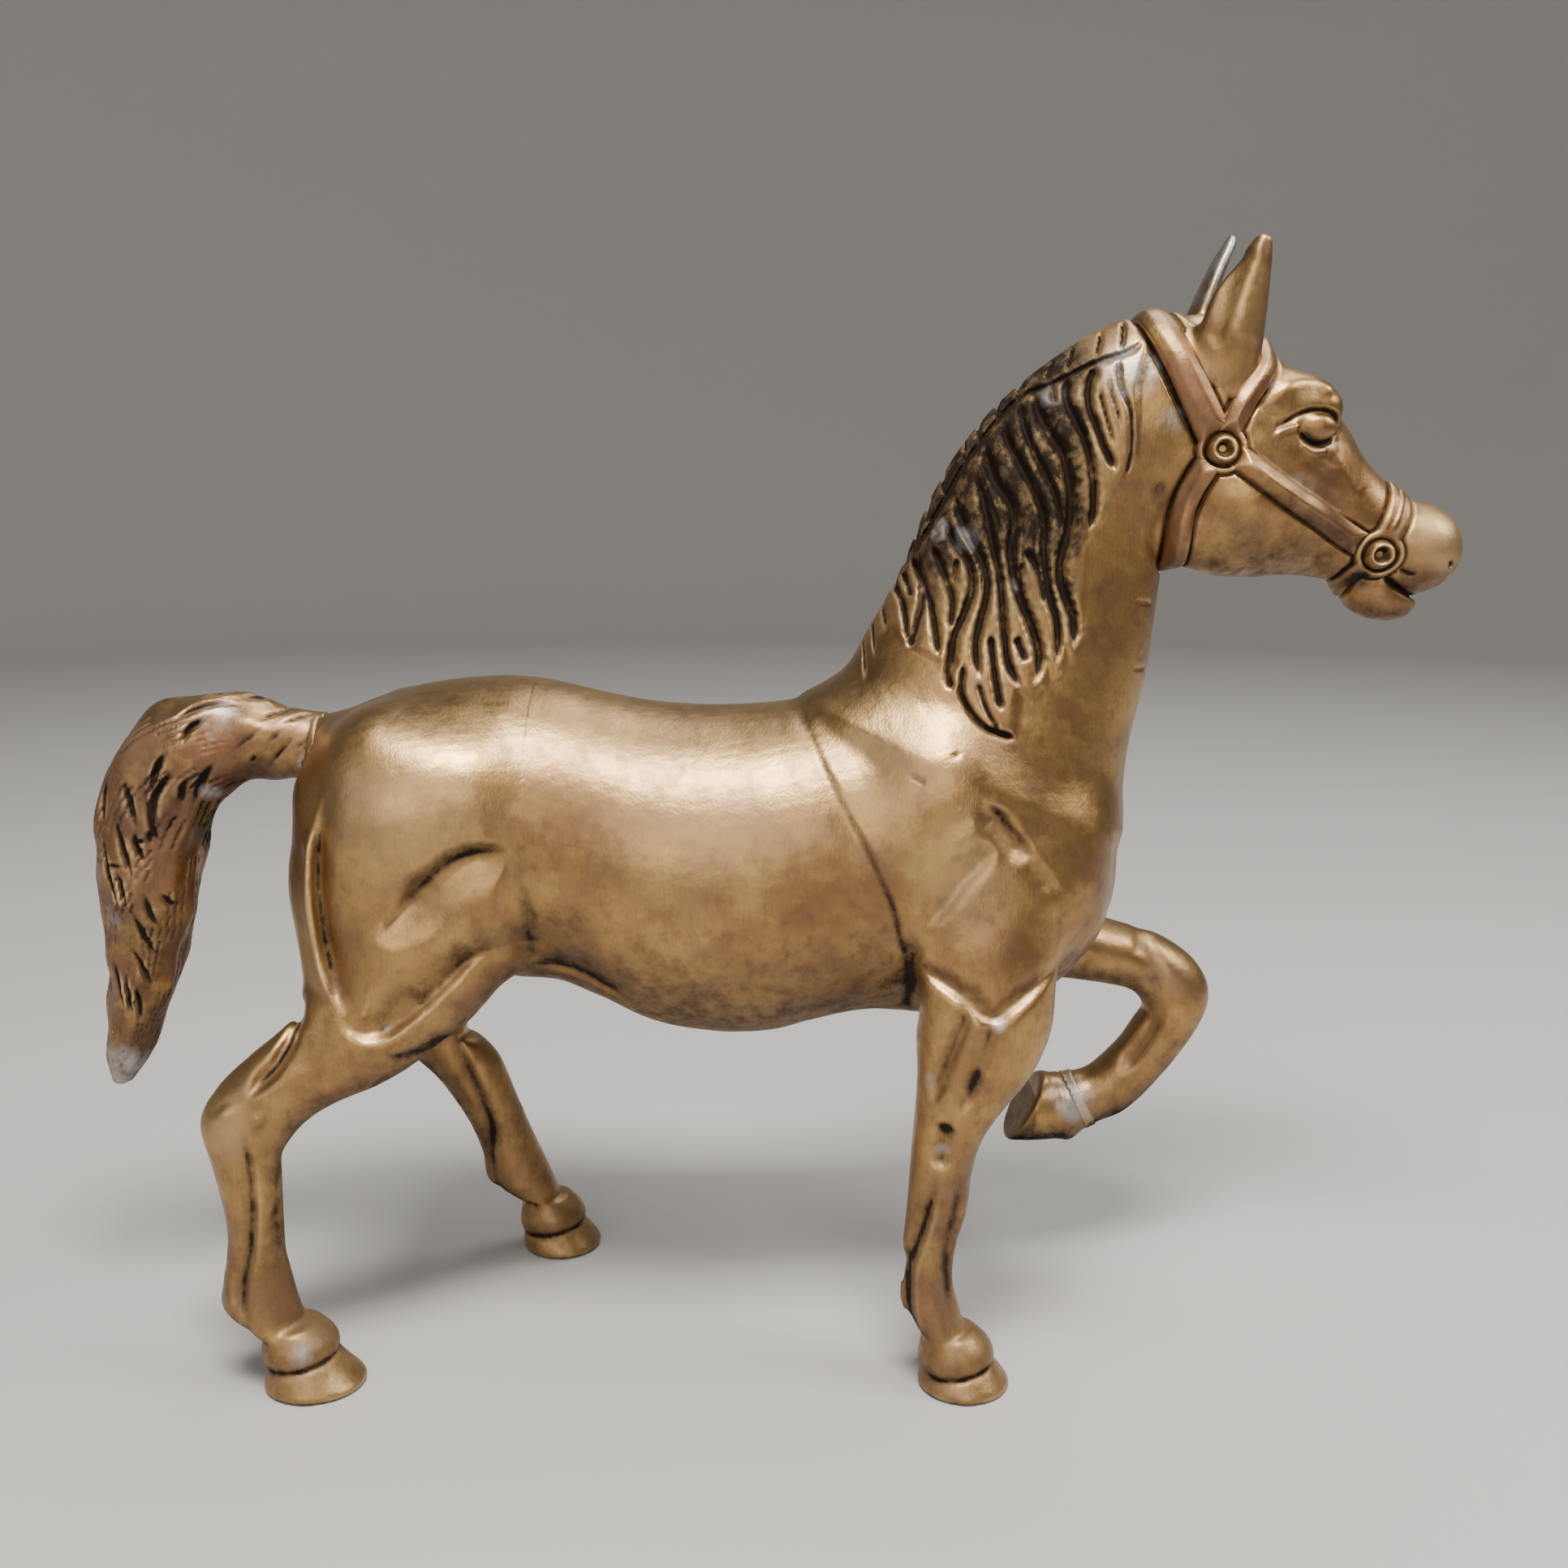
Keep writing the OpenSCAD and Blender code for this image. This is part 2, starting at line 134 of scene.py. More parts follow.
class Grid:
    """Signed distances in mm over a box, positive outside."""

    def __init__(self, low, high, voxel):
        self.voxel = voxel * COARSEN
        self.first = np.floor(np.array(low) / self.voxel).astype(int)
        self.count = np.ceil(np.array(high) / self.voxel).astype(int) - self.first + 1
        steps = [self.first[i] + np.arange(self.count[i]) for i in range(3)]
        axes = [(step * self.voxel).astype(np.float32) for step in steps]
        self.x = axes[0][:, None, None]
        self.y = axes[1][None, :, None]
        self.z = axes[2][None, None, :]
        self.low = self.first * self.voxel
        self.high = self.low + (self.count - 1) * self.voxel

    def empty(self):
        """A field with nothing in it."""
        return np.full(self.count, BAND, np.float32)

    def skin(self, sections):
        """Distance to a loft, or None where it doesn't reach this box. Only its near rings are meshed."""
        rings = smooth_line(sections, 8)
        off = np.maximum(0, np.maximum(self.low - rings[:, :3], rings[:, :3] - self.high))
        reach = BAND + 6 + np.maximum(rings[:, 4], rings[:, 5])
        near = np.flatnonzero(np.linalg.norm(off, axis=1) < reach)
        if len(near) == 0:
            return None
        rings = rings[max(0, near[0] - 1) : near[-1] + 2]
        points, quads, caps = loft(rings)
        band = BAND / self.voxel
        level = openvdb.FloatGrid.createLevelSetFromPolygons(
            points.astype(np.float32),
            np.ascontiguousarray(caps, dtype=np.uint32),
            np.ascontiguousarray(quads, dtype=np.uint32),
            openvdb.createLinearTransform(voxelSize=self.voxel),
            band,
            band,
        )
        out = self.empty()
        level.copyToArray(out, ijk=tuple(int(v) for v in self.first))
        return out

    def rod(self, start, end, r_start, r_end):
        """Distance to a rod with round ends, and to its mirror image on the body's other side."""
        a, b = np.array(start, float), np.array(end, float)
        ab = b - a
        px, py, pz = self.x - a[0], -abs(self.y) - a[1], self.z - a[2]
        t = np.clip((px * ab[0] + py * ab[1] + pz * ab[2]) / (ab @ ab), 0, 1)
        gap = np.sqrt((px - t * ab[0]) ** 2 + (py - t * ab[1]) ** 2 + (pz - t * ab[2]) ** 2)
        return (gap - (r_start + (r_end - r_start) * t)).astype(np.float32)

    def egg(self, centre, radii, tilt=0.0):
        """Distance to an ellipsoid whose first axis is tilted above +X, and to its mirror image."""
        c, s = math.cos(math.radians(tilt)), math.sin(math.radians(tilt))
        dx, dy, dz = self.x - centre[0], -abs(self.y) - centre[1], self.z - centre[2]
        u, v, w = dx * c + dz * s, dy, dz * c - dx * s
        a, b, d = radii
        near = np.sqrt((u / a) ** 2 + (v / b) ** 2 + (w / d) ** 2)
        slope = np.sqrt((u / a**2) ** 2 + (v / b**2) ** 2 + (w / d**2) ** 2) + 1e-9
        return (near * (near - 1) / slope).astype(np.float32)

    def sample(self, values, points):
        """A field's values at points, from the eight grid points round each."""
        at = np.clip((points - self.low) / self.voxel, 0, self.count - 1.001)
        i = at.astype(int)
        f = at - i
        total = 0
        for dx, dy, dz in np.ndindex(2, 2, 2):
            weight = abs(1 - dx - f[:, 0]) * abs(1 - dy - f[:, 1]) * abs(1 - dz - f[:, 2])
            total = total + weight * values[i[:, 0] + dx, i[:, 1] + dy, i[:, 2] + dz]
        return total


class Sheet:
    """A drawing in side view over a grid's XZ plane: depths of cuts and heights of swells, in mm."""

    def __init__(self, grid):
        self.x, self.z = grid.x[:, 0, 0], grid.z[0, 0, :]
        x, z = self.x[:, None], self.z[None, :]
        self.wobble = np.sin(1.9 * x + 1.3 * np.sin(0.9 * z)) * np.sin(2.3 * z + 1.1 * np.sin(1.2 * x))
        self.cuts = np.zeros((len(self.x), len(self.z)), np.float32)
        self.swells = self.cuts.copy()
        self.ink = self.cuts.copy()

    def near(self, line, reach):
        """The window round a line, with each place's squared distance, way along (0 to 1) and side."""
        low, high = line.min(0) - reach, line.max(0) + reach
        i = slice(*np.searchsorted(self.x, [low[0], high[0]]))
        k = slice(*np.searchsorted(self.z, [low[1], high[1]]))
        x, z = self.x[i, None], self.z[None, k]
        best = np.full((x.shape[0], z.shape[1]), 1e6)
        along, side = np.zeros_like(best), np.zeros_like(best)
        if best.size == 0:
            return (i, k), best, along, side
        steps = np.linalg.norm(np.diff(line, axis=0), axis=1)
        run = np.concatenate([[0], np.cumsum(steps)]) / steps.sum()
        for a, b, s0, s1 in zip(line, line[1:], run, run[1:]):
            dx, dz = b - a
            gx, gz = x - a[0], z - a[1]
            t = np.clip((gx * dx + gz * dz) / (dx * dx + dz * dz + 1e-9), 0, 1)
            far = (gx - t * dx) ** 2 + (gz - t * dz) ** 2
            closer = far < best
            best = np.where(closer, far, best)
            along = np.where(closer, s0 + (s1 - s0) * t, along)
            side = np.where(closer, dx * gz - dz * gx, side)
        return (i, k), best, along, side

    def stroke(self, points, depth, left, right=None, ends=0.15, ink=1.0, pen=None):
        """A cut, or a swell where depth is negative, with its own half-width on each side of the line.

        The darkening in a cut, dirt in some and painted shade in others, is as strong as ink and as wide as
        pen, or as the cut itself.
        """
        right = right or left
        line = smooth_line(points, 6)
        window, far, along, side = self.near(line, 2.4 * max(left, right))
        if far.size == 0:
            return
        taper = smooth_step(0, ends, along) * smooth_step(0, ends, 1 - along)
        width = np.where(side > 0, left, right) * (0.5 + 0.5 * taper)
        if max(left, right) < NARROW:
            width = width * (1 + 0.1 * self.wobble[window])
        drawn = abs(depth) * taper * np.exp(-far / width**2)
        layer = self.cuts if depth > 0 else self.swells
        layer[window] = np.maximum(layer[window], drawn)
        if depth > 0:
            dirt_and_shade = ink * taper * np.exp(-far / (pen or 0.8 * width) ** 2)
            self.ink[window] = np.maximum(self.ink[window], dirt_and_shade)

    def signed(self, points):
        """Signed distance from a line over the whole sheet, positive on its left."""
        line = smooth_line(points, 6)
        _, far, _, side = self.near(line, 1e4)
        return np.sqrt(far) * np.sign(side)

    def inside(self, outline):
        """Signed distance to a closed outline over the whole sheet, negative inside."""
        line = np.vstack([outline, outline[:1]]).astype(float)
        _, far, _, _ = self.near(line, 1e4)
        x, z = self.x[:, None], self.z[None, :]
        odd = np.zeros(far.shape, bool)
        for (ax, az), (bx, bz) in zip(line, line[1:]):
            if az != bz:
                odd ^= ((az > z) != (bz > z)) & (x < (bx - ax) * (z - az) / (bz - az) + ax)
        return np.sqrt(far) * np.where(odd, -1, 1)


def waves(points, wavelength, seed):
    """Soft random waves over points, about -1 to 1."""
    rng = np.random.default_rng(seed)
    total = 0
    for _ in range(7):
        way = rng.normal(size=3)
        way *= 2 * math.pi / (wavelength * rng.uniform(0.6, 1.5) * np.linalg.norm(way))
        total = total + np.sin(points @ way + rng.uniform(0, 2 * math.pi))
    return total / 3.5


def box_blur(values, radius):
    """A mean over a cube, radius in grid steps."""
    out = values
    for axis in range(3):
        pad = [(radius + 1, radius) if i == axis else (0, 0) for i in range(3)]
        total = np.cumsum(np.pad(out, pad, mode="edge"), axis=axis, dtype=np.float64)
        width = 2 * radius + 1
        after = np.take(total, range(width, total.shape[axis]), axis)
        before = np.take(total, range(total.shape[axis] - width), axis)
        out = ((after - before) / width).astype(np.float32)
    return out


# ---------------------------------------------------------------- the horse's masses, in mm


TRUNK = upright([
    (-102.4, 124, 102, 4), (-100.4, 134, 92, 13), (-96.6, 142, 92, 21), (-90, 145, 92, 27.5),
    (-82, 148, 91, 31), (-70, 150.6, 88, 32.5), (-56, 151.6, 84, 30.5), (-46, 150.4, 83, 29.5),
    (-36, 148, 79, 30.5), (-24, 145.8, 73.4, 32), (-10, 145, 71, 32.5), (2, 145.6, 71.4, 32.5),
    (12, 147, 74, 31.5), (24, 150, 76, 30), (38, 152, 75, 29), (50, 149, 76, 27.5), (61, 143, 79, 24.5),
    (70, 135, 86, 19.5), (77, 122, 99, 11),
])
NECK = [
    (45, 0, 132.5, 67, 37, 27), (49.5, 0, 145, 75, 32.4, 23), (54, 0, 158, 80, 30.6, 19.5),
    (58.3, 0, 171.5, 82, 27.7, 17), (62, 0, 183.7, 77, 25.6, 15.5), (66.5, 0, 191.8, 67, 24.4, 15),
    (72.2, 0, 199, 59.6, 23, 14.6), (80.5, 0, 206, 50, 21.4, 14), (88, 0, 210, 42, 21, 13.4),
    (96, 0, 212.6, 30, 18.6, 12.4),
]
HEAD = [
    (86, 0, 208, 0, 18, 11), (92, 0, 207.2, -5, 21.4, 12.6), (98.5, 0, 200.2, -10, 24.2, 14.2),
    (107, 0, 195.8, -10, 22.8, 14.4), (115, 0, 193.2, -9, 19.8, 12.6), (121, 0, 189.8, -11, 16.6, 10.6),
    (126, 0, 185.7, -12, 13.6, 9.2), (131, 0, 182, -13, 12.2, 8.8), (137, 0, 180, -14, 10, 9.2),
    (141, 0, 179.5, -14, 8, 8),
]
TAIL = [
    (-92, 0, 134.6, 180, 7, 6.5), (-98, 0, 135.3, 180, 7.7, 7), (-105.6, 0, 136.4, 176, 8.2, 7.6),
    (-113.3, 0, 137.9, 176, 9.5, 8.4), (-121.3, 0, 136.6, 194, 11.3, 9.4),
    (-128.5, 0, 133.4, 208, 12.8, 10.4), (-134.2, 0, 125.8, 222, 13.4, 11),
    (-137.8, 0, 116.5, 236, 13, 11.2), (-139, 0, 106.5, 244, 11.8, 11), (-140, 0, 95.2, 254, 9.8, 9.6),
    (-141.8, 0, 83.5, 259, 7.7, 7.8), (-144.7, 0, 72.3, 263, 6, 6.2), (-147.3, 0, 63, 263, 4.3, 4.6),
    (-149, 0, 57, 263, 2, 2.4),
]
RIGHT_FORE = [
    (48, -18, 108, 90, 17, 10), (47.6, -23, 98, 90, 15.6, 10.5), (47.3, -25.5, 88, 90, 15, 10.4),
    (47, -26.5, 79, 90, 14.4, 9.8), (45.4, -27.4, 70.5, 90, 12.4, 9), (42.6, -28, 63.5, 90, 9.8, 8.2),
    (39.8, -28.6, 56.5, 90, 7.7, 7.6), (38.4, -29, 49, 90, 6.8, 6.8), (37.6, -29.6, 40, 90, 6.5, 5.6),
    (36, -30, 31.7, 90, 5.8, 5.2), (35.6, -30.5, 24, 90, 5.8, 5.6), (36.6, -31, 17, 86, 6.3, 6.4),
    (39, -31.4, 12, 72, 6.2, 6.6), (41, -31.8, 9, 68, 5.4, 6),
]
RIGHT_HIND = [
    (-76, -13, 112, 90, 23, 15), (-77.4, -18, 96, 90, 22.4, 13.5), (-79.5, -20, 86, 82, 19.6, 12.4),
    (-86, -21.5, 78, 66, 14.8, 11.4), (-92.5, -23, 72.4, 60, 12.3, 10),
    (-101.3, -25, 67.4, 60, 10.4, 8.8), (-107.6, -26.4, 62.4, 64, 9.9, 8),
    (-111.8, -27.6, 56, 66, 9.4, 7.4), (-110.8, -28.6, 49, 76, 7.9, 6.6),
    (-109.8, -29.2, 41.5, 88, 6.6, 6), (-109.3, -29.8, 34, 90, 6.2, 5.8), (-109.6, -30.4, 25, 92, 7.1, 6),
    (-109, -31, 18, 84, 8.3, 6.8), (-105.6, -31.5, 13, 66, 7.8, 7.2), (-103, -31.8, 10.4, 60, 6.4, 6.4),
]
LEFT_HIND = [
    (-76, 13, 112, 90, 23, 15), (-77.4, 18, 96, 90, 22.4, 13.5), (-79.5, 20, 86, 82, 18, 12.4),
    (-81, 22, 78, 78, 14.5, 11), (-83, 24, 70, 72, 11.8, 9.6), (-83.5, 26, 62.5, 74, 9.8, 8.4),
    (-79.6, 27.4, 56, 96, 9.4, 7.4), (-74.4, 28.4, 49.5, 106, 8.2, 6.6), (-70.3, 29.2, 41, 106, 7.1, 6),
    (-67.7, 30, 34.5, 105, 6.7, 5.8), (-65.4, 30.8, 27.5, 102, 7, 6), (-63.2, 31.2, 20, 96, 8, 6.8),
    (-59.4, 31.6, 14, 70, 7.4, 7),
]
LEFT_FORE = [
    (48, 14, 104, -10, 14, 9), (58, 19, 91, -12, 11.5, 10), (68, 21, 85.4, -12, 9, 9.4),
    (82.9, 22.4, 81.6, -9.5, 7.7, 8.4), (92.8, 23, 78.5, -25, 7.5, 7.8), (98.9, 23, 73.2, -51, 8.2, 7.8),
    (100.2, 23, 67.5, -83, 8, 7.6), (94.6, 23, 57.4, -119, 7, 6.4), (88.2, 23, 49.6, -129, 7, 6.2),
    (83.4, 23, 45.6, -140, 7, 6.6), (78, 23, 43.8, -153, 6.8, 6.8),
]
LEFT_FOOT = [
    (80, 23, 44.2, -150, 6.6, 6.6), (76.4, 23, 42.8, -158, 7.2, 7.4), (73.5, 23, 41.6, -168, 8.6, 8.6),
    (71.6, 23, 41.4, -178, 8, 8.2), (67, 23, 41.5, -196, 8.8, 9), (63.4, 23, 41.6, -209, 9.3, 9.8),
]


def hoof(coronet_x, side, sole_x, length, lift):
    """A standing hoof: a fat coronet, higher in front, over a flaring wall that ends on the ground."""
    return [
        (coronet_x - 2, side, 12.6 + lift, 98, 5.8, 6.2), (coronet_x - 1, side, 10.2 + lift, 99, 7.3, 7.5),
        (coronet_x - 0.4, side, 8 + lift, 99, 8.2, 8.4), (coronet_x, side, 6.1 + lift, 98, 8.3, 8.3),
        (coronet_x + 0.2, side, 5 + lift, 97, 7.9, 7.8),
        ((coronet_x + sole_x) / 2, side, 3 + lift / 2, 94, 8.9, 8.8), (sole_x, side, 1, 90, length, 9.8),
        (sole_x, side, -0.6, 90, length - 0.3, 9.5), (sole_x, side, -4, 90, length - 3, 7),
    ]


RIGHT_FORE_HOOF = hoof(42.2, -32, 43.8, 10, 0)
RIGHT_HIND_HOOF = hoof(-100.6, -32, -97.9, 11, 1.6)
LEFT_HIND_HOOF = hoof(-54.8, 32, -52.6, 9.8, 0.8)

# Muscles, as rods (start, end, start radius, end radius, blend) on both sides of the body
MUSCLES = [
    ((-76, -16, 124), (-86, -14, 108), 16.5, 15, 6), ((-64, -17, 128), (-80, -15, 134), 13.5, 12.5, 6),
    ((-91, -12, 126), (-90.5, -14, 100), 10, 9.5, 4), ((-76, -22, 98), (-61, -19.5, 107), 10.5, 11.5, 5),
    ((-82, -21, 81), (-60, -17.5, 95), 9, 8, 4), ((38, -14, 128), (56, -15.5, 108), 16.5, 14.5, 6),
    ((30, -16.5, 114), (46, -19, 99), 12.6, 12.4, 9), ((62, -12, 118), (61.5, -11.5, 102), 12.6, 11.6, 6),
    ((101, -5.5, 190), (111, -4.5, 187), 11, 9, 5), ((91.5, -4.5, 183.6), (99, -4.5, 182.4), 8, 8.2, 3),
    ((104, -6.4, 212.6), (112, -6.4, 210.4), 5.4, 5, 3),
    ((108.5, -8.2, 209), (116.6, -7.2, 208.8), 5, 4.8, 2.5),
]
# Ellipsoids: centre, radii and, for the lips, tilt
MUZZLE = [((140.6, 0, 179.6), (10.8, 9.8, 10), 0), ((134, 0, 169.3), (8.6, 6.2, 5.3), -15)]
EYEBALL = ((115.2, -10.8, 204.8), (4.2, 2.9, 3.5))
BUTTOCK_CLEFT = ((-104.6, 0, 106), (6, 2.6, 22))

# Cuts and folds of the body in side view: points, depth, half-width on the left and on the right of the way
FOLDS = [
    ([(-90.4, 131), (-92.6, 118), (-92.9, 108), (-91.8, 97.1), (-88.8, 87.8),
     (-84.6, 80.6)], 2.2, 4.8, 1.1),
    ([(-89, 86), (-84.6, 80.9), (-79.4, 81), (-72.9, 85.3), (-66.7, 91.1), (-61.5, 95.4),
     (-54, 97.8)], 2.9, 4.6, 1.9),
    ([(-79.6, 99), (-71.6, 109.3), (-67.4, 113.8), (-62.1, 117.2), (-56.3, 118.2),
     (-47.6, 117)], 2.5, 2.2, 6),
    ([(-81, 74.4), (-75.4, 74), (-70.6, 75.8), (-65.6, 79.4)], 0.7, 1.2, 1.8),
    ([(-52.4, 91.4), (-42, 90.6), (-35.7, 87.7), (-28, 82)], 1.5, 3.6, 1.6),
    ([(-49.6, 126), (-50.4, 112), (-49.4, 101), (-50, 88)], 1.5, 5, 3.6),
    ([(44.4, 130), (48, 126.6), (51, 123), (54, 119), (57, 115.4)], 1.8, 1.4, 3.6),
    ([(51, 123), (56.4, 115.8), (63, 108.4)], 0.6, 1.1, 2.4),
    ([(50.4, 122.6), (45, 116.8), (41, 112.4), (37.4, 107.6), (32, 101.4)], 1.2, 1.8, 3.8),
    ([(26, 95), (34.9, 92.8), (39.8, 90.4), (44, 87.4), (47.8, 84.8), (51, 86.6), (55, 89.4),
     (64, 95.4)], 2, 2.8, 1.5),
    ([(31, 102), (32.2, 90), (31.8, 76)], 1.5, 1.8, 2.8),
]
# The raised rim behind the thigh, and the ridges above the leaf-shaped folds
RIMS = [
    ([(-94.4, 124), (-95, 108), (-93.8, 96), (-90.6, 85)], 0.8, 1.6),
    ([(-88.6, 81), (-83, 77.8), (-77, 79.4), (-70, 85.6)], 0.6, 1.8),
    ([(-74, 87.2), (-66, 94.4), (-59, 99.6)], 0.8, 3),
    ([(-72, 112.4), (-64, 119.6), (-54, 121.6)], 0.5, 3),
    ([(38, 118), (46, 124.6), (48, 130)], 0.5, 3),
]
LEG_DEPTH = 1.35
RIGHT_LEG_CUTS = [
    ([(42.6, 90), (41.6, 83), (39.9, 78), (38.4, 74.4), (37.2, 70), (35.6, 64)], 1.1, 1.5, 2.2),
    ([(47.6, 86), (46.9, 79), (45, 73), (43.4, 68), (41.6, 62.6)], 1, 1.4, 2),
    ([(39.6, 62.4), (37.8, 57.6), (38.2, 50.4)], 1.3, 2, 2),
    ([(36.8, 50), (35.8, 43), (34.4, 37), (33, 32.4), (31.7, 28), (31.6, 21), (32.6, 15.4),
     (34.4, 10)], 1, 0.9, 1.5),
    ([(41.6, 50), (41, 41), (39.2, 33), (39.6, 24), (41.4, 14)], 0.5, 1.4, 2),
    ([(33, 3.6), (38, 4.1), (43, 5), (52, 6.6)], 0.4, 0.5, 0.7),
    ([(-97, 87), (-99.2, 80), (-100.6, 76), (-103, 72), (-105.6, 69.4), (-109, 65.6)], 1.6, 1.4, 1.8),
    ([(-110.4, 63), (-109.4, 56), (-108.8, 49), (-108.7, 40), (-109.4, 32), (-110.8, 26.4), (-111, 21),
     (-108.6, 12)], 1, 1.3, 1.7),
    ([(-103.6, 55), (-104.4, 44), (-104.4, 33), (-103.4, 23)], 0.5, 1.5, 2),
    ([(-110, 4.8), (-104, 5.8), (-97, 7), (-90, 8.3)], 0.4, 0.5, 0.7),
]
LEFT_LEG_CUTS = [
    ([(-77, 65), (-74.4, 54), (-71, 44), (-68.4, 34), (-69, 24), (-66, 14)], 0.9, 1.3, 1.8),
    ([(-64, 4.2), (-58, 5), (-51, 6.2), (-44, 7.6)], 0.4, 0.5, 0.7),
    ([(96.4, 69), (92, 59.6), (86.4, 51.4)], 0.8, 1.3, 1.8),
    ([(88, 88), (93, 80.4), (93.4, 72)], 0.7, 2, 2.4),
]
RIGHT_LEG_LUMPS = [
    ([(-114.4, 64.6), (-112, 61)], 0.7, 2.4), ([(-107.6, 63), (-104.6, 60)], 0.6, 2.2),
    ([(-114, 29), (-114.4, 23), (-112.6, 17)], 0.5, 1.8), ([(29.6, 30), (29.4, 22), (31, 14)], 0.4, 1.4),
]
SCARS = [
    ([(30.3, 134.5), (33.6, 132.9)], 0.4, 0.5, 0.5),
    ([(39.4, 138.8), (40.2, 138.4)], 0.5, 0.5, 0.5),
    ([(79, 169), (83.4, 168)], 0.35, 0.25, 0.25),
    ([(79.4, 154.4), (82.6, 154.2)], 0.3, 0.25, 0.25),
]

# Where the castings meet. The flank and shoulder seams show, and the others are dressed smooth.
FLANK_X = -49
FLANK_SEAM = [(-49.4, 160), (-49, 118), (-50, 111.3), (-47.8, 103.4), (-48.8, 95.2), (-49.2, 70)]
SHOULDER_SEAM = [
    (4.6, 156), (7.7, 147.6), (10.7, 140.1), (16.9, 127.5), (20.2, 121.6), (24.5, 113), (27.1, 106.9),
    (28.9, 99.9), (31, 90), (33, 66),
]
NECK_SEAM = (13, 149, 75)
POLL_X = 89
TAIL_X = -98.5
HIND_Z = 88
FORE_SEAM = [
    (22, 97), (28, 94.6), (34.9, 92.8), (39.8, 90.4), (44, 87.4), (47.8, 84.8), (51, 86.6), (55, 89.4),
    (62.4, 94.4), (74, 103),
]
RAISED_X = 66
PASTERN = (77.4, 43.6, -154)

# ---------------------------------------------------------------- the mane, in side view


MANE = np.array([
    (84, 236), (81, 224), (77.6, 213), (77, 200), (75, 194.5), (70.6, 186), (67.4, 181), (67, 172),
    (66.4, 160), (65, 156.6), (63.4, 160), (62.6, 155), (61, 153.4), (59.6, 157), (58.8, 152),
    (56.4, 149.4), (53.6, 150.6), (52.5, 141.5), (46.5, 143.5), (43.2, 147), (41.2, 151), (39, 152),
    (37, 157), (33, 158.4), (30.6, 159.4), (28, 163), (24, 158), (20, 154), (12, 158), (22, 180),
    (38, 212), (60, 234),
])
STRIP = [
    (80, 223.4), (76, 220.4), (70, 218.4), (65, 216), (60.5, 213.8), (55, 211.6), (50, 207),
    (43.5, 198.4), (37, 187), (32, 177),
]
MANE_HEIGHT = 0.9
# Locks that the mane is parted into: points, depth and half-width
LOCKS = [
    ([(73.5, 219), (73.5, 213.5), (75.5, 208.5), (76, 204), (76, 199.5), (75, 194)], 0.7, 0.45),
    ([(69.5, 218), (67.5, 213), (67.5, 208.5), (69, 204.5), (70.5, 200.5), (73, 195.6)], 1.5, 0.75),
    ([(64, 216.4), (63, 211), (64.5, 206.5), (66.5, 202), (67.7, 197.5), (68.5, 192), (68.5, 187),
     (67.4, 182.6)], 1.7, 0.8),
    ([(60.5, 214), (60.5, 209.6)], 1, 0.7),
    ([(56.6, 213.5), (57.5, 208.5), (59.2, 204), (62, 199.6), (63.2, 195), (64, 189.5), (63.5, 183.5),
     (62.2, 178.5), (62, 174), (63.5, 169), (65, 165), (65, 157.5)], 2, 1.05),
    ([(54, 211), (54.5, 205.5), (56, 200.5), (58.2, 196), (60.5, 191), (62, 185.5),
     (61.4, 182)], 1.3, 0.65),
    ([(51, 207.5), (51.2, 202.5), (53.5, 197.5), (56, 192.5), (58, 188), (58.6, 183.5), (58.5, 179.5),
     (59, 174.5), (60, 169.5), (61.5, 164), (61.4, 154.6)], 1.8, 0.85),
    ([(46.6, 202.5), (47.4, 198), (48.7, 193.8), (51.4, 189.6), (52.5, 185), (51.7, 179.5), (52.5, 174),
     (54.2, 168.6), (56.5, 163), (57.7, 157.5), (56.4, 151.4)], 2, 1),
    ([(44.5, 196), (46, 191.5), (47, 186.5), (48, 181), (49.4, 175), (50, 169), (50.4, 163), (51.4, 156),
     (54.4, 150.8)], 1.7, 0.8),
    ([(40.5, 191.5), (41.6, 187), (43.6, 182), (46, 177.5), (47, 173), (46.6, 169), (45.2, 164),
     (44.5, 159.5), (45.2, 153)], 1.6, 0.8),
    ([(38.4, 186), (40.6, 181), (43.6, 176), (43.8, 171), (42, 166), (40, 161), (39.3, 153)], 1.7, 0.85),
    ([(36, 180.4), (38.2, 175), (40, 169), (39.4, 162.6)], 1.3, 0.75),
    ([(32, 178), (34, 173), (35.6, 168), (36.5, 163), (37, 157.4)], 1.4, 0.75),
    ([(33.8, 173.4), (34, 169), (32.6, 164), (31, 158.8)], 1.2, 0.8),
    ([(27.6, 174), (29.8, 168.7), (30.5, 165), (31, 160)], 1.1, 0.6),
    ([(30.4, 174.4), (31.6, 169.6)], 0.8, 0.5),
    ([(41.2, 178), (40, 172.6)], 1, 0.55),
    ([(54.4, 180), (56.6, 177), (58, 173.5), (59, 168.6)], 1.3, 0.75),
    ([(54, 177), (53.4, 171)], 0.9, 0.5),
    ([(52.6, 162), (54.8, 157)], 1, 0.8),
    ([(47.4, 162.6), (48, 157.5), (48.6, 152.5), (49.6, 147)], 1.3, 0.65),
    ([(44.8, 153), (46.5, 147.4), (49, 143)], 0.7, 0.4),
    ([(42.2, 157), (41.4, 151), (43.6, 146.3), (46.8, 143.4), (53, 141.2)], 1.1, 0.5),
    ([(39.6, 161.6), (38.8, 155.5), (39.6, 151)], 1.2, 0.7),
]
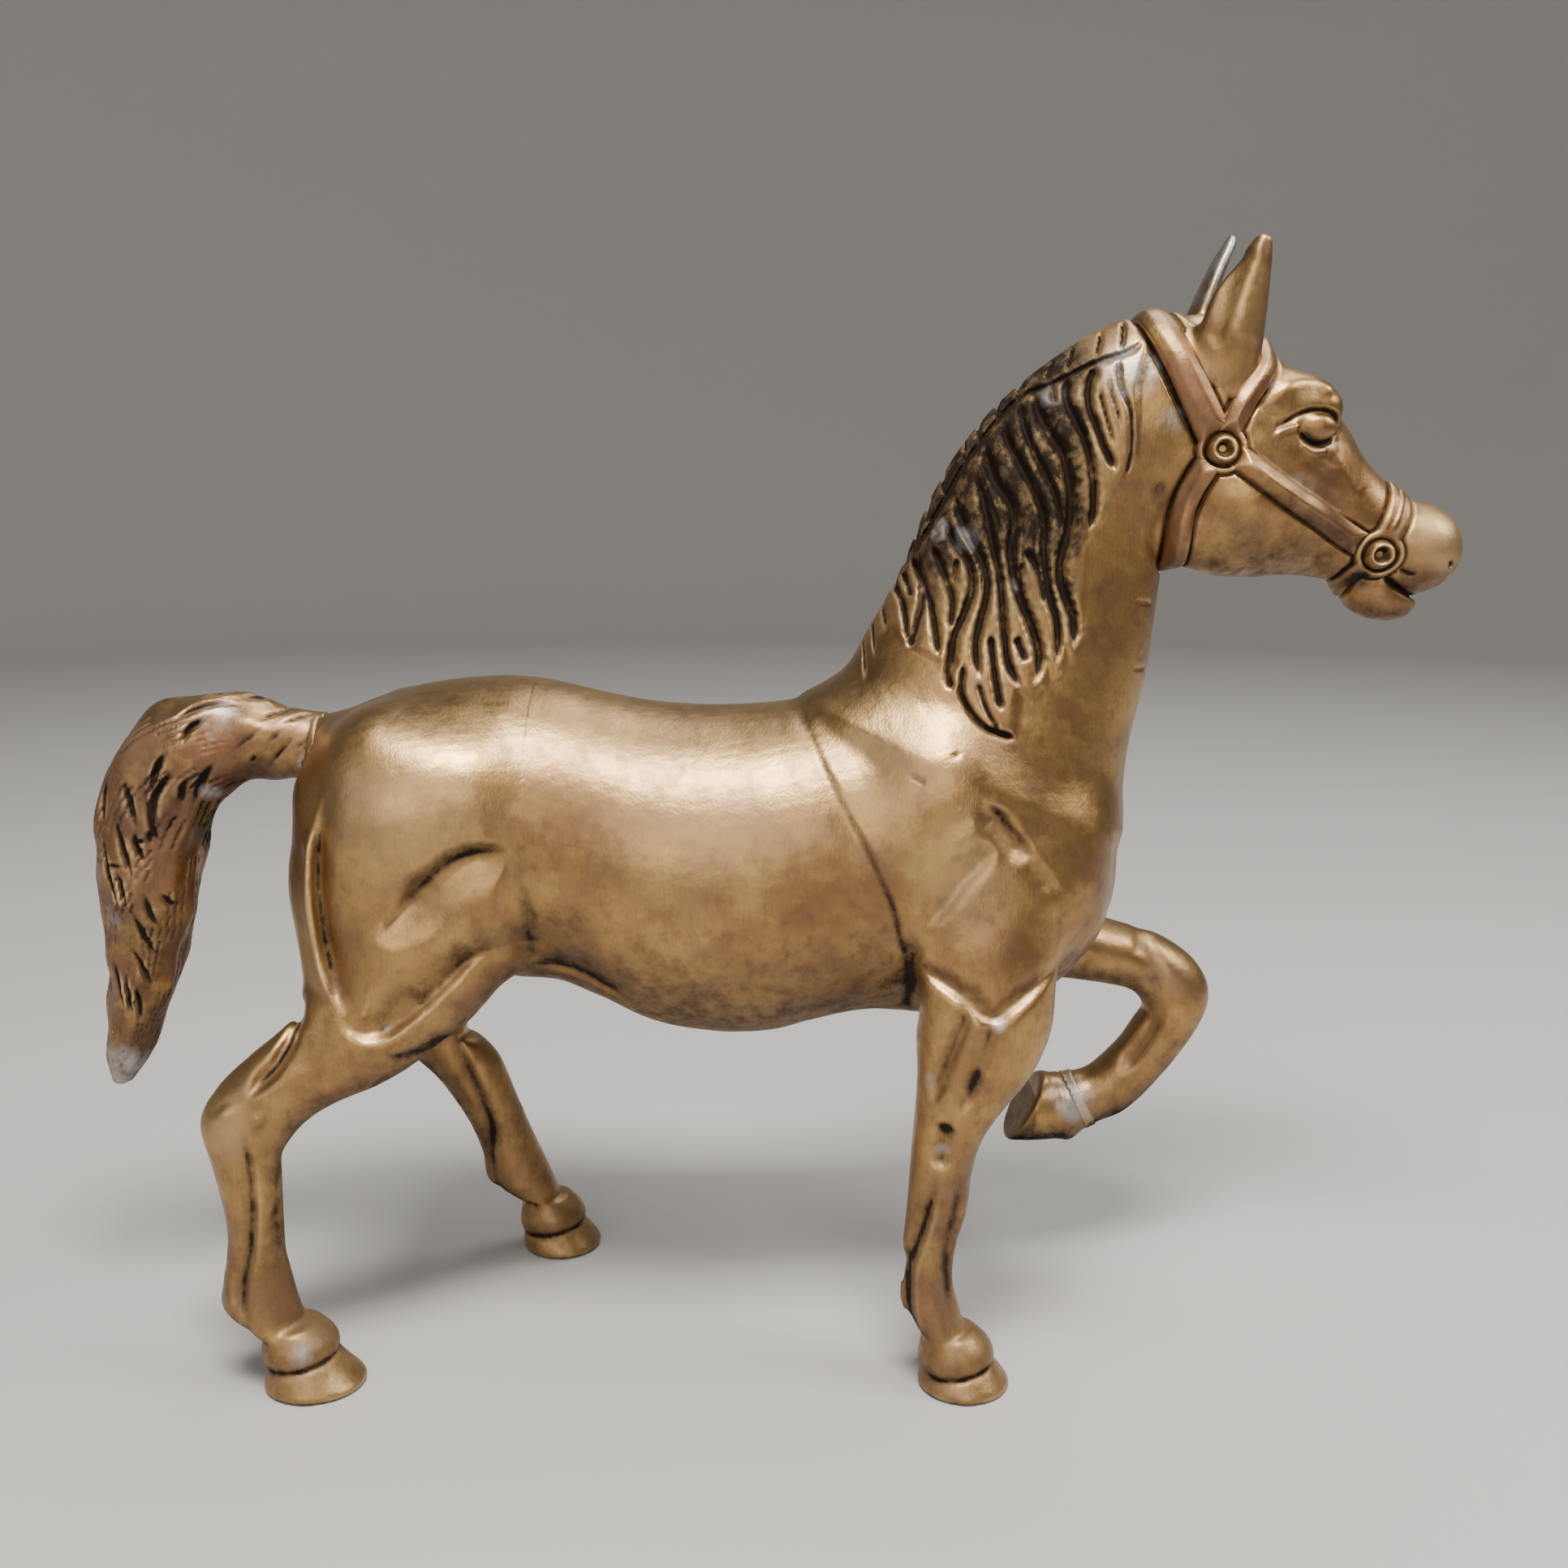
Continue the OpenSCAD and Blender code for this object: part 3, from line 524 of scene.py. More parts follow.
# Cuts across the crest, and the long thin ones over the withers
CREST_CUTS = [
    [(75.6, 227), (74, 219.6)], [(71.2, 225), (69, 218)], [(66, 222), (63.2, 215.6)],
    [(61.8, 219), (59, 213.4)], [(55.6, 216), (53.2, 209.6)], [(50.6, 212), (49.2, 205)],
    [(46.6, 207), (45.2, 200.6)], [(43.7, 202.6), (42.3, 196)], [(39.4, 196.6), (38.2, 189.6)],
    [(36.2, 191), (35.2, 184)], [(33.4, 186.6), (33.2, 179.6)], [(31, 181.6), (30.8, 175)],
]
WITHER_CUTS = [
    [(28, 176.6), (30, 168)], [(26, 172.6), (26.4, 161)], [(24, 169), (24, 155.4)],
    [(22, 165), (22, 150.4)],
]

# ---------------------------------------------------------------- the tail's hair


TAIL_CUTS = [
    ([(-108.2, 141.4), (-112, 138.6), (-116.4, 135.2)], 0.5, 0.35),
    ([(-104.4, 140.8), (-108.2, 137.2)], 0.5, 0.35),
    ([(-101, 140.2), (-104.5, 136.5), (-109, 131.5)], 0.5, 0.35),
    ([(-98.6, 139.6), (-103, 135.3)], 0.4, 0.35), ([(-110.3, 135.2), (-112.2, 133.3)], 0.4, 0.35),
    ([(-107, 146.4), (-116, 147.4)], 0.6, 0.5), ([(-99, 143.4), (-106, 141.8)], 0.5, 0.4),
    ([(-103.5, 144.8), (-111, 142.3)], 0.6, 0.4), ([(-113, 149.4), (-125, 147)], 0.7, 0.6),
    ([(-126.2, 136.6), (-124.5, 141), (-120, 143.7)], 1.4, 0.8),
    ([(-133, 126.6), (-131.5, 132.5), (-128.6, 137)], 1.5, 0.7),
    ([(-131.3, 117.6), (-132.7, 121.5), (-132.5, 125), (-131, 128.5), (-127, 133.2)], 1.5, 0.75),
    ([(-127, 123.6), (-126.6, 127.5), (-125, 131)], 1, 0.6),
    ([(-125, 123.6), (-122.6, 129.5), (-118.6, 134.2)], 1.2, 0.7),
    ([(-114, 145.6), (-119.5, 146), (-125, 144.5), (-129.6, 141.6)], 1, 0.7),
    ([(-139.2, 130.4), (-137.6, 125.5), (-136.4, 118.4)], 1.5, 0.75),
    ([(-141.6, 122.4), (-140, 116), (-138.3, 107)], 1.4, 0.65),
    ([(-145, 119.4), (-144.5, 112.5), (-143.5, 105), (-140.8, 98.6)], 1.4, 0.6),
    ([(-145, 111), (-140, 110.9)], 1, 0.4), ([(-138.4, 116.6), (-134.6, 116.4)], 1, 0.4),
    ([(-136.3, 119.4), (-137, 116), (-135.3, 110.6)], 1.3, 0.6),
    ([(-142.2, 110.6), (-141, 106), (-140.3, 100)], 1.4, 0.7),
    ([(-136.2, 105), (-135.5, 99.5), (-134.2, 95.6)], 1.1, 0.7),
    ([(-139.2, 101), (-137.5, 94), (-135.7, 88)], 1.2, 0.65),
    ([(-141.2, 92.6), (-139, 86.5), (-137.8, 80)], 1.1, 0.6),
    ([(-145.6, 90), (-145.1, 81.5), (-144.4, 75)], 1.1, 0.6),
    ([(-141, 83), (-141, 77.5), (-141.6, 72)], 1, 0.5),
    ([(-143.6, 87.6), (-143, 81), (-143, 73)], 1, 0.5), ([(-133.4, 105), (-130.6, 100)], 0.8, 0.6),
    ([(-133.4, 119.6), (-134.6, 114.8)], 0.9, 0.6),
    ([(-144, 130.4), (-144.6, 124.5), (-144.6, 118.6)], 1.3, 0.7),
    ([(-134, 127.5), (-133.4, 121), (-132.3, 113.6)], 1, 0.55),
]

# ---------------------------------------------------------------- the head and bridle


CROWN = [(80.6, 232), (82.2, 226.6), (85.6, 219.4), (89.2, 211.4), (93.8, 202.4)]
BROWBAND = [(96.4, 204.6), (98.6, 209), (102, 214), (104.9, 219.4), (107.4, 228)]
CHEEK = [(97, 199.4), (104.6, 194.1), (112, 189.4), (120, 184.8), (127.8, 180.2)]
THROAT = [(93.4, 199), (89.8, 192.6), (87.8, 185.6), (87.4, 176.8)]
NOSEBAND = [(138.6, 199), (136.2, 191), (134.4, 186.4), (131.6, 181)]
CHINBAND = [(129.4, 177), (126.6, 174.4), (124.6, 171), (123.6, 167)]
ROSETTE = (95, 200.4)
BIT = (131, 178.5)
HEAD_CUTS = [
    ([(105, 203.8), (108.2, 206), (112, 207.9), (116, 208.3), (119, 207), (120.8, 203.4)], 0.9, 0.4, 0.9),
    ([(110.6, 204.8), (112.2, 202.5), (115, 201.4), (117.8, 201.9), (119.8, 204)], 1, 0.6, 0.6),
    ([(120.6, 203), (120, 200), (118.6, 196)], 0.25, 1.4, 2.2),
    ([(131.6, 175), (136.3, 171.8), (139.4, 169.8), (144, 168.2)], 1.2, 0.45, 0.6),
    ([(134.6, 176.2), (137.4, 174.6), (139.8, 174.4)], 0.5, 0.4, 0.6),
    ([(146.2, 177.2), (147.6, 175.6)], 0.7, 0.6, 0.6),
]
CHEEK_VALLEY = [(99.6, 202), (104, 198.6), (109.5, 194.8), (117, 190.4), (127, 185.4)]
HEAD_RIDGES = [
    ([(103.2, 207), (105.6, 211), (110.4, 214), (115.4, 214.2), (119.2, 211)], 0.8, 2),
    ([(105.4, 202.8), (108, 204.2), (111, 204.8)], 0.45, 0.6),
    ([(111, 201.8), (114, 199.8), (118, 200.2)], 0.35, 0.8),
    ([(118.4, 202), (122, 196), (126, 190)], 0.4, 1.6),
]


def body(grid):
    """The whole horse but for its ears, blended from its masses, before its hair and creases are cut."""
    out = grid.empty()
    masses = [
        (TRUNK, 1), (NECK, 7), (HEAD, 4), (TAIL, 2.5), (RIGHT_HIND, 5), (LEFT_HIND, 5),
        (RIGHT_FORE, 2.5), (LEFT_FORE, 5), (LEFT_FOOT, 0.8),
        (RIGHT_FORE_HOOF, 0.8), (RIGHT_HIND_HOOF, 0.8), (LEFT_HIND_HOOF, 0.8),
    ]
    for sections, blend in masses:
        skin = grid.skin(sections)
        if skin is not None:
            out = soft_min(out, skin, blend)
    for start, end, r_start, r_end, blend in MUSCLES:
        reach = max(r_start, r_end) + BAND + blend
        low, high = np.minimum(start, end) - reach, np.maximum(start, end) + reach
        if (low < grid.high)[[0, 2]].all() and (high > grid.low)[[0, 2]].all():
            out = soft_min(out, grid.rod(start, end, r_start, r_end), blend)
    if grid.high[0] > 120:
        lips = [grid.egg(*egg) for egg in MUZZLE]
        out = soft_min(out, soft_min(*lips, 1), 1.5)
        out = soft_min(out, grid.egg(*EYEBALL), 0.5)
    if grid.low[0] < -95:
        out = soft_max(out, -grid.egg(*BUTTOCK_CLEFT), 3)
    return np.maximum(out, -grid.z)


def body_cuts(grid):
    """Every fold, crease and ridge of the body in side view, for both sides and for each side alone."""
    both, right, left = Sheet(grid), Sheet(grid), Sheet(grid)
    # The folds' ink is painted shade along their creases
    for points, depth, left_width, right_width in FOLDS:
        both.stroke(points, depth, left_width, right_width, ends=0.3, ink=0.36, pen=1.5)
    for cut in SCARS:
        both.stroke(*cut, ink=0.8)
    for points, height, width in RIMS + HEAD_RIDGES:
        both.stroke(points, -height, width)
    for cut in HEAD_CUTS:
        both.stroke(*cut, ends=0.25, ink=0.5, pen=0.35)
    # Painted shade: the valley above the cheekpiece is inked dark
    both.stroke(CHEEK_VALLEY, 1, 2.4, 1.2, ends=0.25, ink=0.4, pen=1.3)
    both.stroke(FLANK_SEAM[1:5], 0.4, 0.6, 1.4, ends=0.4, ink=0.5, pen=0.6)
    both.stroke(SHOULDER_SEAM, 0.7, 0.6, 3.2, ends=0.4, ink=0.62, pen=0.5)
    # The leg grooves' ink is painted shade in the grooves
    for sheet, cuts in ((right, RIGHT_LEG_CUTS), (left, LEFT_LEG_CUTS)):
        for points, depth, *widths in cuts:
            sheet.stroke(points, LEG_DEPTH * depth, *widths, ends=0.25, ink=0.48, pen=0.7 * widths[0])
    for points, height, width in RIGHT_LEG_LUMPS:
        right.stroke(points, -height, width, ends=0.4)
    return both, right, left


def mane_cuts(both, right):
    """The raised mane on the right with its locks and finer hairs, and the crest, cut on both sides."""
    both.stroke(STRIP, 0.9, 0.9, 0.35, ends=0.1)
    for cut in CREST_CUTS:
        both.stroke(cut, 0.8, 0.34, ends=0.3)
    edge = right.inside(MANE)
    inside = 1 - smooth_step(-1.7, 0.8, edge)
    right.swells = np.maximum(right.swells, MANE_HEIGHT * inside * smooth_step(22, 36, right.x)[:, None])
    soiled = inside * smooth_step(146, 186, right.z)[None, :] * smooth_step(78, 62, right.x)[:, None]
    right.ink = np.maximum(right.ink, 0.85 * soiled)
    for points, depth, width in LOCKS:
        right.stroke(points, 1.1 * depth, 1.15 * width, ends=0.12, pen=1.15 * width)
    longer = [resample(smooth_line(points), 12) for points, _, _ in LOCKS if len(points) > 5]
    rng = np.random.default_rng(5)
    for a, b in zip(longer, longer[1:]):
        if abs(a - b).max() > 9:
            continue
        for share in (0.34, 0.66):
            start = rng.integers(0, 4)
            hair = (a * share + b * (1 - share))[start : start + rng.integers(5, 9)]
            right.stroke(hair, rng.uniform(0.35, 0.8), 0.38, ends=0.3)
    for cut in WITHER_CUTS:
        right.stroke(cut, 0.5, 0.42, ends=0.3)


def tail_hair(grid):
    """Depth of the hair grooves that run down round the tail, everywhere in a grid."""
    rings = smooth_line(TAIL, 4)
    near = np.full(grid.count, 1e6, np.float32)
    along = np.zeros_like(near)
    turn = np.zeros_like(near)
    for i, (x, _, z, tilt, _, _) in enumerate(rings):
        dx, dz = grid.x - x, grid.z - z
        far = dx**2 + grid.y**2 + dz**2
        closer = far < near
        tilt = math.radians(tilt)
        up = dz * math.cos(tilt) - dx * math.sin(tilt)
        near = np.where(closer, far, near)
        along = np.where(closer, i, along)
        turn = np.where(closer, np.arctan2(grid.y + 0 * up, up), turn)
    way = along / len(rings)
    wander = 0.7 * np.sin(9 * way + 2 * turn) + 0.5 * np.sin(21 * way - turn + 1)
    groove = np.exp(-((np.sin(7.5 * turn + 5 * way + wander) / 0.36) ** 2))
    broken = smooth_step(-0.5, 0.3, np.sin(17 * way + 3 * turn + 2) + 0.7 * np.sin(31 * way - 4 * turn))
    fine = np.exp(-((np.sin(19 * turn + 11 * way + 2 * wander) / 0.4) ** 2))
    thin = smooth_step(-0.2, 0.5, np.sin(37 * way + 5 * turn) + 0.8 * np.sin(53 * way - 7 * turn))
    grooves = np.maximum(0.85 * groove * broken * smooth_step(-2, 3, grid.y), 0.45 * fine * thin)
    return (grooves * smooth_step(0.2, 0.34, way) * (1 - smooth_step(0.93, 0.99, way))).astype(np.float32)


# ---------------------------------------------------------------- bridle


def band(sheet, line, width, hole=None):
    """Signed distance to a strap's edge in side view, with the place of a ring left out of it."""
    edge = abs(sheet.signed(line)) - width / 2
    if hole:
        edge = np.maximum(edge, RING_GAP - ring_radius(sheet, hole))
    return edge


def ring_radius(sheet, centre):
    return np.hypot(sheet.x[:, None] - centre[0], sheet.z[None, :] - centre[1])


STRAP_DEPTH, BEAD_DEPTH = 0.9, 0.8  # how deep straps, rings and beads go into the casting, mm
RING_RADIUS = 3.2
RING_GAP = 3.6
COLLAR = 5.1  # the outer radius of the leather round a ring
CROWN_GAP = [(76.8, 232), (78.6, 225.6), (81.4, 219), (84.6, 212), (88.4, 205), (91.4, 200)]


def bridle_edges(sheet):
    """Each strap in side view: its name to the signed distance from its edge and its height over the head."""
    bit, rosette = ring_radius(sheet, BIT), ring_radius(sheet, ROSETTE)
    nose = soft_min(band(sheet, NOSEBAND, 5.6, BIT), np.maximum(bit - COLLAR, RING_GAP - bit), 0.6)
    crown = np.minimum(band(sheet, CROWN, 7, ROSETTE), np.maximum(rosette - COLLAR, RING_GAP - rosette))
    return {
        "crownpiece": (crown, 1.3),
        "browband": (band(sheet, BROWBAND, 5, ROSETTE), 1.5),
        "throatlatch": (band(sheet, THROAT, 5, ROSETTE), 1.1),
        "noseband": (soft_min(nose, band(sheet, CHINBAND, 3.4, BIT), 0.6), 1.3),
        "cheekpiece": (np.maximum(band(sheet, CHEEK, 5.2, ROSETTE), COLLAR - bit), 1.5),
    }


def bridle_cuts(sheet):
    """The dark line that the casting has beside each strap, and the deep one behind the crownpiece."""
    for edge, _ in bridle_edges(sheet).values():
        beside = np.exp(-(((edge - 0.1) / 0.45) ** 2))
        sheet.cuts = np.maximum(sheet.cuts, 0.7 * beside)
        sheet.ink = np.maximum(sheet.ink, 0.62 * beside)
    sheet.stroke(CROWN_GAP, 1.7, 0.9, 0.8, ends=0.05)


# ---------------------------------------------------------------- from distances to meshes


# Solder and worn plating (x, y, z, radius, strength), the specks over the mane being painted reflections of
# the sky, and dark crusts
SOLDER_AND_REFLECTIONS = [
    (-147.5, -4, 61, 8, 0.7), (-99.6, -6, 133.4, 2.6, 0.8), (151.4, -3, 181.6, 1.8, 1),
    (76, -11, 216, 7, 0.6), (42, -13, 182, 4, 0.45), (28.6, -11, 166, 1.5, 0.9), (-118, -7, 144, 5, 0.5),
    (-120, -6, 139, 3, 0.7), (-122, -5, 127, 3, 0.7), (-145, -8, 98, 4, 0.4), (75, 18, 45, 6, 0.8),
    (101.6, -12, 240, 2.6, 0.6), (98, 10, 239, 11, 0.8), (-130, -8, 145, 4, 0.4), (60, -10, 212, 4, 0.35),
    (37, -9, 184, 3, 0.6), (37.6, -36, 55.4, 2.4, 0.6), (44, -36, 88.6, 2, 0.45),
    (49, -36, 83.6, 2.2, 0.6), (34, -33, 70, 3, 0.45), (-98, -41, 11, 4, 0.5), (-78, -30, 80, 2, 0.4),
    (-103, -35, 72, 3, 0.4), (33, -34, 92.6, 2.4, 0.45), (84, -12, 206, 4, 0.5), (104, -10, 214, 3, 0.5),
    (99, -11, 207.4, 2.4, 0.5), (112, -12, 193, 4, 0.3), (49, -27, 119, 3, 0.4), (40, -27, 110, 4, 0.35),
    (48, -15, 196, 4, 0.4), (52, -14, 172, 3, 0.35),
]
CRUSTS = [
    (82.6, -12, 192, 2.2, 0.5), (84, -12, 188.6, 1.8, 0.5), (-100, -34, 76, 4, 0.35),
    (38.6, -36, 59.6, 2, 0.6), (29, -24, 88, 5, 0.15), (-49, -30, 96, 5, 0.35), (52, -20, 141, 5, 0.35),
    (29, -22, 152, 7, 0.35), (-131, 4, 100, 8, 0.5), (-126, 2, 118, 7, 0.5), (127, -8, 172, 4, 0.4),
    (49.6, -26, 123.4, 3, 0.4), (38, -36, 73, 3.4, 0.4), (44.6, -36, 71, 3, 0.4), (-97, -30, 10, 9, 0.2),
    (26, -30, 118, 4, 0.3), (-136, -6, 128, 14, 0.42), (-142, -2, 100, 12, 0.4),
]
# Painted highlights: spots painted lighter and golden where light glints
PAINTED_HIGHLIGHTS = [
    (144, -6, 183, 9, 0.8), (112, -8, 212, 6, 0.6), (-74, -28, 130, 20, 0.35), (-10, -24, 136, 26, 0.35),
    (24, -24, 138, 16, 0.4), (-113, -30, 60, 8, 0.6), (98, 22, 82, 11, 0.4), (-104, 0, 143, 8, 0.4),
    (40, -28, 116, 12, 0.3), (100, -14, 230, 9, 0.3),
]


def spots(points, places):
    """How strongly spots with a soft edge cover points, 0 to 1."""
    total = np.zeros(len(points))
    for x, y, z, radius, strength in places:
        far = np.linalg.norm(points - (x, y, z), axis=1)
        total = np.maximum(total, strength * (1 - smooth_step(0.4 * radius, 1.3 * radius, far)))
    return total


HOLLOW_REACH = 1.3  # how far round a place its hollowness is felt, mm
NORMAL_REACH = 0.6
LUMPS = [(0.05, 13, 1), (0.02, 3.5, 2)]  # the casting's unevenness: height and wavelength in mm, seed
SOLE_Z = 1  # below this nothing is uneven, so the hooves stand flat


def mesh_piece(name, grid, values, solid, ink, slot="bronze"):
    """A Blender object from the zero surface of values; solid and ink give its lumps and its dirt, and its
    shape gives painted shade in hollows, underneath and low down and painted highlights on top.
    """
    level = openvdb.FloatGrid(BAND)
    values = np.clip(values, -BAND, BAND).astype(np.float32)
    level.copyFromArray(values, ijk=tuple(int(v) for v in grid.first))
    level.transform = openvdb.createLinearTransform(voxelSize=grid.voxel)
    points, quads = level.convertToQuads(isovalue=0)
    points = points.astype(float)
    blur = box_blur(np.clip(solid, -3, 3), max(1, round(HOLLOW_REACH / grid.voxel)))
    hollow = -grid.sample(blur, points)
    dirt_and_shade = grid.sample(ink, points)
    normal = np.zeros_like(points)
    for axis in range(3):
        step = np.zeros(3)
        step[axis] = NORMAL_REACH
        normal[:, axis] = grid.sample(solid, points + step) - grid.sample(solid, points - step)
    normal /= np.linalg.norm(normal, axis=1)[:, None] + 1e-6
    lump = sum(height * waves(points, length, seed) for height, length, seed in LUMPS)
    points = points + normal * (lump * (points[:, 2] > SOLE_Z))[:, None]

    mesh = bpy.data.meshes.new(name)
    corners = quads[:, ::-1].ravel().astype(np.int32)
    mesh.vertices.add(len(points))
    mesh.vertices.foreach_set("co", (points * MM).astype(np.float32).ravel())
    mesh.loops.add(len(corners))
    mesh.loops.foreach_set("vertex_index", corners)
    mesh.polygons.add(len(quads))
    mesh.polygons.foreach_set("loop_start", np.arange(0, len(corners), 4, dtype=np.int32))
    mesh.polygons.foreach_set("loop_total", np.full(len(quads), 4, np.int32))
    mesh.update(calc_edges=True)
    mesh.polygons.foreach_set("use_smooth", np.ones(len(mesh.polygons), bool))
    # Dark patina and painted shade in hollows
    hollow_patina_and_shade = 0.65 * smooth_step(0.1, 0.6, hollow)
    # Painted shade: faces that turn downwards are darkened
    painted_under_shade = 0.6 * smooth_step(0.1, -0.8, normal[:, 2])
    # Painted shade: darker towards the bottom, below 74 mm
    painted_low_shade = 0.3 * smooth_step(74, 30, points[:, 2])
    edges = smooth_step(0.12, 0.55, -hollow)
    # Painted highlight: faces that turn upwards are painted lighter and golden
    painted_top_highlight = 0.4 * smooth_step(0.2, 0.8, normal[:, 2])
    covers = {
        "grime_and_shade": np.clip(dirt_and_shade + hollow_patina_and_shade + spots(points, CRUSTS) + painted_under_shade + painted_low_shade, 0, 1),
        "wear_and_highlight": np.maximum(np.maximum(edges, painted_top_highlight), spots(points, PAINTED_HIGHLIGHTS)),
        "solder_and_reflection": spots(points, SOLDER_AND_REFLECTIONS),
    }
    for key, amount in covers.items():
        mesh.attributes.new(key, "FLOAT", "POINT").data.foreach_set("value", amount.astype(np.float32))
    piece = bpy.data.objects.new(name, mesh)
    bpy.context.scene.collection.objects.link(piece)
    piece.data.materials.append(METALS[slot])
    count = 2 * len(quads)
    if count > MOST_FACES:
        thin_out(piece, MOST_FACES / count)
    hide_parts(name)
    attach(piece, "root")


def thin_out(piece, share):
    """Collapse the edges that matter least until this share of the triangles is left."""
    piece.modifiers.new("thin", "DECIMATE").ratio = share
    bpy.context.view_layer.update()
    ready = piece.evaluated_get(bpy.context.evaluated_depsgraph_get())
    piece.data = bpy.data.meshes.new_from_object(ready)
    piece.modifiers.clear()


class Block:
    """One box of the horse, cut with its folds, from which castings are taken."""

    def __init__(self, low, high, voxel, hair=None):
        self.grid = Grid(low, high, voxel)
        self.plain = box_blur(body(self.grid), 1)
        sheets = body_cuts(self.grid)
        self.sheet = sheets[0]
        if self.grid.high[2] > 160:
            bridle_cuts(self.sheet)
        if hair:
            hair(*sheets[:2])
        cuts = self.across(*(sheet.cuts for sheet in sheets))
        swells = self.across(*(sheet.swells for sheet in sheets))
        self.ink = self.across(*(sheet.ink for sheet in sheets))
        self.solid = (self.plain + cuts - swells).astype(np.float32)

    def across(self, both, right, left):
        """Layers drawn for both sides, the right and the left, carried across the horse's width."""
        on_right = right[:, None, :] * smooth_step(1.6, -0.8, self.grid.y)
        on_left = left[:, None, :] * (self.grid.y > 0)
        return np.maximum(both[:, None, :], on_right) + on_left

    def deepen(self, cuts):
        """Cut the solid further, with dirt in the cuts."""
        self.ink = np.maximum(self.ink, 1.1 * cuts)
        self.solid = self.solid + cuts

    def beyond(self, seam):
        """Signed distance from a seam plane (x, z, tilt of its normal above +X), negative beyond it."""
        tilt = math.radians(seam[2])
        return -((self.grid.x - seam[0]) * math.cos(tilt) + (self.grid.z - seam[1]) * math.sin(tilt))

    def ahead(self, seam):
        """Signed distance from a drawn seam that runs downwards, negative ahead of it."""
        return -self.sheet.signed(seam)[:, None, :]

    def casting(self, name, own, **settings):
        """The part of this block inside own, run on a little under its neighbours."""
        skin = self.solid + SINK * smooth_step(0, 0.4, own)
        mesh_piece(name, self.grid, np.maximum(skin, own - LAP), self.solid, self.ink, **settings)

    def bead(self, name, seam, width, proud, only=None):
        """A thin brazed bead over a seam, in its groove; seam is the distance from it."""
        shell = overlap(self.solid - proud, -(self.solid + BEAD_DEPTH))
        values = soft_max(shell, abs(seam) - width / 2 + 0 * self.grid.y, 0.4)
        if only is not None:
            values = np.maximum(values, only)
        mesh_piece(name, self.grid, values, self.solid, self.ink, slot="silver_braze")


# ---------------------------------------------------------------- materials


def node(tree, kind, inputs, **settings):
    """A shader node whose inputs are values or other nodes' outputs."""
    made = tree.nodes.new("ShaderNode" + kind)
    for key, value in settings.items():
        setattr(made, key, value)
    for key, value in inputs.items():
        if isinstance(value, bpy.types.NodeSocket):
            tree.links.new(value, made.inputs[key])
        else:
            made.inputs[key].default_value = value
    return made


def add(tree, a, b):
    return node(tree, "Math", {0: a, 1: b}, operation="ADD").outputs[0]


def times(tree, a, b):
    return node(tree, "Math", {0: a, 1: b}, operation="MULTIPLY").outputs[0]


def mix(tree, share, a, b):
    made = node(tree, "Mix", {0: share, 6: a, 7: b}, data_type="RGBA")
    return made.outputs[2]


def ramp(tree, value, low, high, top=1.0):
    """From 0 where value is low to top where it is high."""
    return node(tree, "MapRange", {0: value, 1: low, 2: high, 3: 0.0, 4: top}).outputs[0]


def texture(tree, place, scale, detail=4.0, rough=0.6):
    """Soft noise whose scale is in marks per metre along X, Y and Z."""
    stretched = node(tree, "Mapping", {"Vector": place, "Scale": scale}).outputs[0]
    made = node(tree, "TexNoise", {"Vector": stretched, "Scale": 1.0, "Detail": detail, "Roughness": rough})
    return made.outputs[0]


# Tints that the bronze is mixed with; the polished tint also paints highlights, the patina also paints shade,
# and the solder grey also paints reflections on the mane
PURPLISH, YELLOW = (0.2, 0.105, 0.062, 1), (0.52, 0.33, 0.1, 1)
RUSTY, STREAK = (0.12, 0.055, 0.03, 1), (0.17, 0.09, 0.045, 1)
POLISH_AND_HIGHLIGHT, PATINA_AND_SHADE = (0.76, 0.53, 0.25, 1), (0.014, 0.011, 0.01, 1)
SOLDER_AND_REFLECTION_GREY = (0.42, 0.41, 0.4, 1)


